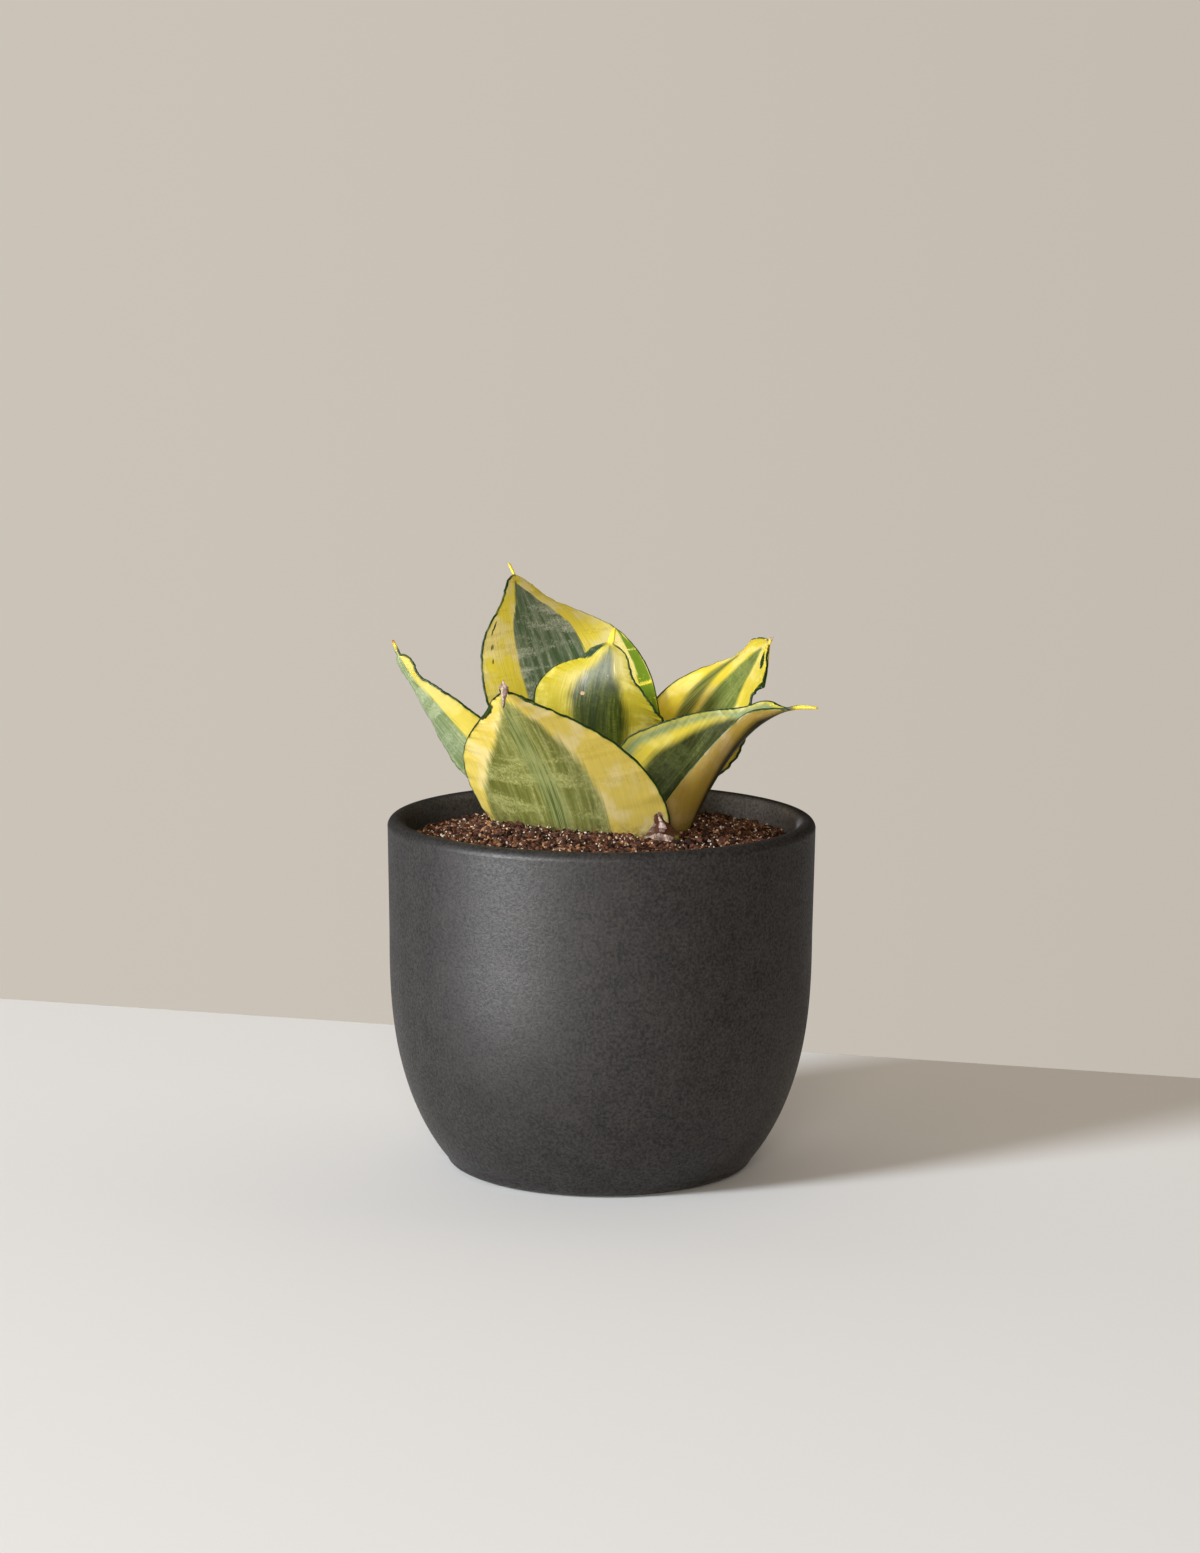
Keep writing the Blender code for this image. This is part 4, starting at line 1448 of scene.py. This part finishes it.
    def build(self, effects: Effects) -> None:
        """Dress the packed soil and lay each kind of loose piece on it."""
        peat = LooseMix("peat_crumbs", colour(28, 16, 12), colour(120, 78, 60))
        bark = LooseMix("bark_crumbs", colour(72, 47, 33), colour(184, 131, 92))
        wood = LooseMix("wood_chips", colour(150, 106, 76), colour(236, 196, 156), 0.75)
        grit = LooseMix("pale_grit", colour(190, 176, 156), colour(240, 232, 216), 0.6)
        lump, chip = Crumb.LUMP, Crumb.CHIP
        kinds = [
            Scatter("peat_clods", lump, 1500, (1.1, 2.0), (1.0, 1.0, 0.6), 0.0, (0.0, 0.7), peat, 11),
            Scatter("peat_crumbs", lump, 8500, (0.45, 1.1), (1.0, 1.0, 0.75), 0.45, (0.0, 1.0), peat, 12),
            Scatter("bark_crumbs", lump, 3400, (0.4, 1.1), (1.2, 0.9, 0.6), 0.6, (0.0, 1.0), bark, 13, 0.7),
            Scatter("wood_chips", chip, 2200, (0.7, 1.7), (1.0, 0.28, 0.14), 0.3, (0.0, 1.0), wood, 14, 0.7),
            Scatter("dark_fibres", chip, 2600, (0.8, 2.0), (1.0, 0.16, 0.12), 0.3, (0.0, 0.8), bark, 15),
            Scatter("pale_grit", lump, 2200, (0.16, 0.36), (1.0, 1.0, 0.8), 3.4, (0.0, 1.0), grit, 16),
        ]
        for kind in kinds:
            self.build_scatter(kind, effects)
        dress_node("soil", PackedSoil().build(effects), Slot.SOIL)
        dress_node("crown", CrownTissue().build(effects), Slot.CROWN)


# Studio


@dataclass(frozen=True)
class Lamp:
    """A round area light: degrees left of the front, degrees up, metres away, metres wide, watts, colour.

    only_gloss: whether it shows only as a sheen, without lighting anything.
    """

    name: str
    left: float
    elevation: float
    distance: float
    size: float
    power: float
    tone: tuple[float, float, float]
    only_gloss: bool = False


LAMP_AIM = 90.0
LAMPS = (
    Lamp("key", 54.0, 24.0, 3.4, 0.8, 138.0, (0.86, 0.93, 1.0)),
    Lamp("front_fill", 4.0, 12.0, 3.0, 1.2, 48.0, (1.0, 0.93, 0.82)),
    Lamp("ceiling", 40.0, 68.0, 2.6, 2.2, 5.5, (1.0, 0.74, 0.5)),
    Lamp("sheen", 51.0, 6.0, 2.6, 1.2, 350.0, (1.0, 1.0, 1.0), only_gloss=True),
)


@dataclass
class Studio:
    """Pale table, plain backdrop, a soft key from the left front and a camera.

    distance, elevation, target_height: where the camera stands, and the height that it aims at.
    pitch_up, yaw_left, roll, lens: its turns after aiming, and its focal length.
    wall_points, wall_past, wall_height: two places on the wall's foot, its run past them, its height.
    table_half, table_gap: half the table's width, and its drop below the pot.
    """

    distance: float = 1300.0
    elevation: float = 11.94
    target_height: float = 55.0
    pitch_up: float = 2.82
    yaw_left: float = 0.0256
    roll: float = 0.384
    lens: float = 98.47
    wall_points: tuple[tuple[float, float], tuple[float, float]] = ((-218, 231), (201, 117))
    wall_past: float = 1800.0
    wall_height: float = 1600.0
    table_half: float = 6000.0
    table_gap: float = 0.02

    def camera(self) -> None:
        """Aim the camera at the target from the front, then pitch, yaw and roll it."""
        tilt = math.radians(self.elevation)
        back = Vector((0, -math.cos(tilt), math.sin(tilt)))
        data = bpy.data.cameras.new("camera")
        data.lens = self.lens
        data.sensor_width = 36.0
        data.clip_end = 50.0
        made = new_object("camera", data)
        aim = (-back).to_track_quat("-Z", "Y").to_matrix().to_4x4()
        place = (Vector((0, 0, self.target_height)) + back * self.distance) * MM
        turns = (self.pitch_up, "X"), (self.yaw_left, "Y"), (self.roll, "Z")
        pitch, yaw, roll = (Matrix.Rotation(math.radians(angle), 4, axis) for angle, axis in turns)
        made.matrix_world = Matrix.Translation(place) @ aim @ pitch @ yaw @ roll
        bpy.context.scene.camera = made

    def floor(self) -> None:
        """Lay a wide pale floor just under the pot."""
        side = self.table_half
        points = np.array([(-side, -side, 0), (side, -side, 0), (side, side, 0), (-side, side, 0)])
        points[:, 2] = -self.table_gap
        paint = new_material("table_paint", 0.8, Base_Color=colour(231, 229, 227), Specular_IOR_Level=0.2)[0]
        self._stage("floor", points, paint)

    def wall(self) -> None:
        """Stand a plain wall behind, through two points on the floor; it glows with painted light instead of
        being lit, takes no shadow and is clear from behind.
        """
        first, last = (np.array([*point, 0.0]) for point in self.wall_points)
        along = unit(last - first)
        start, end = first - along * self.wall_past, last + along * self.wall_past
        rise = np.array([0.0, 0.0, self.wall_height])
        black = {"Base_Color": (0, 0, 0, 1), "Specular_IOR_Level": 0.0}
        made, bench, shader = new_material("backdrop_paint", 1.0, **black)
        # Painted light: the wall's own glow is a little darker towards +X.
        sideways = bench.step(bench.split(bench.object_place())[0], -0.25, 0.35)
        tone = bench.mix(sideways, colour(203, 195, 184), colour(194, 186, 175))
        bench.plug(shader.inputs["Emission Color"], tone)
        shader.inputs["Emission Strength"].default_value = 1.0
        clear = bench.add("ShaderNodeBsdfTransparent")
        behind = bench.add("ShaderNodeNewGeometry").outputs["Backfacing"]
        both = bench.add("ShaderNodeMixShader", {0: behind, 1: shader.outputs[0], 2: clear.outputs[0]})
        bench.plug(made.node_tree.nodes["Material Output"].inputs[0], both.outputs[0])
        sheet = self._stage("backdrop", np.array([start, end, end + rise, start + rise]), made)
        sheet.visible_shadow = False
        sheet.visible_glossy = False

    @staticmethod
    def _stage(name: str, points: Array, paint: Material) -> Object:
        """Make a plain stage sheet."""
        mesh = make_mesh(name, points, [np.array([[0, 1, 2, 3]])], smooth=False)
        mesh.materials.append(paint)
        sheet = new_object(name, mesh)
        return sheet

    @staticmethod
    def light(lamp: Lamp) -> None:
        """Hang a soft round light that points at the plant."""
        turn, rise = math.radians(lamp.left), math.radians(lamp.elevation)
        away = Vector((-math.sin(turn) * math.cos(rise), -math.cos(turn) * math.cos(rise), math.sin(rise)))
        data = bpy.data.lights.new(lamp.name, "AREA")
        data.shape = "DISK"
        data.size = lamp.size
        data.energy = lamp.power
        data.color = lamp.tone
        made = new_object(lamp.name, data)
        made.visible_diffuse = not lamp.only_gloss
        place = Vector((0, 0, LAMP_AIM * MM)) + away * lamp.distance
        made.matrix_world = Matrix.Translation(place) @ (-away).to_track_quat("-Z", "Y").to_matrix().to_4x4()

    def world(self) -> None:
        """Fill with an even warm light from all round."""
        made = bpy.data.worlds.new("studio_air")
        bpy.context.scene.world = made
        made.use_nodes = True
        background = made.node_tree.nodes["Background"]
        background.inputs["Color"].default_value = (1.0, 0.8, 0.6, 1.0)
        background.inputs["Strength"].default_value = 0.06

    def build(self) -> None:
        """Set the stage, the lights and the camera."""
        bpy.context.scene.view_settings.view_transform = "Standard"
        self.floor()
        self.wall()
        self.world()
        for lamp in LAMPS:
            self.light(lamp)
        self.camera()


def main() -> None:
    """Build the pot, the leaves, the soil and the studio."""
    logging.basicConfig(level=logging.INFO, format="%(name)s: %(message)s")
    effects = Effects()
    PlantPot().build(effects)
    low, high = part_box("crown")
    place = np.array([(low.x + high.x) / 2, (low.y + high.y) / 2, high.z]) / MM
    soil_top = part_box("soil")[1].z / MM
    leaves = []
    for number, (name, (shape, look)) in enumerate(LEAVES.items()):
        skin = LeafSkin(rows=110, columns=41) if name == "scale_leaf" else LeafSkin()
        leaves.append(Leaf(name, shape, look, skin, place, 7 * number + 3, soil_top))
    for leaf in leaves:
        leaf.build(effects)
    dry = DryTissue().build(effects)
    for tip in DRY_TIPS:
        tip.build(next(leaf for leaf in leaves if leaf.name == tip.leaf), dry)
    SoilBed(leaves).build(effects)
    Studio().build()


if __name__ == "__main__":
    main()
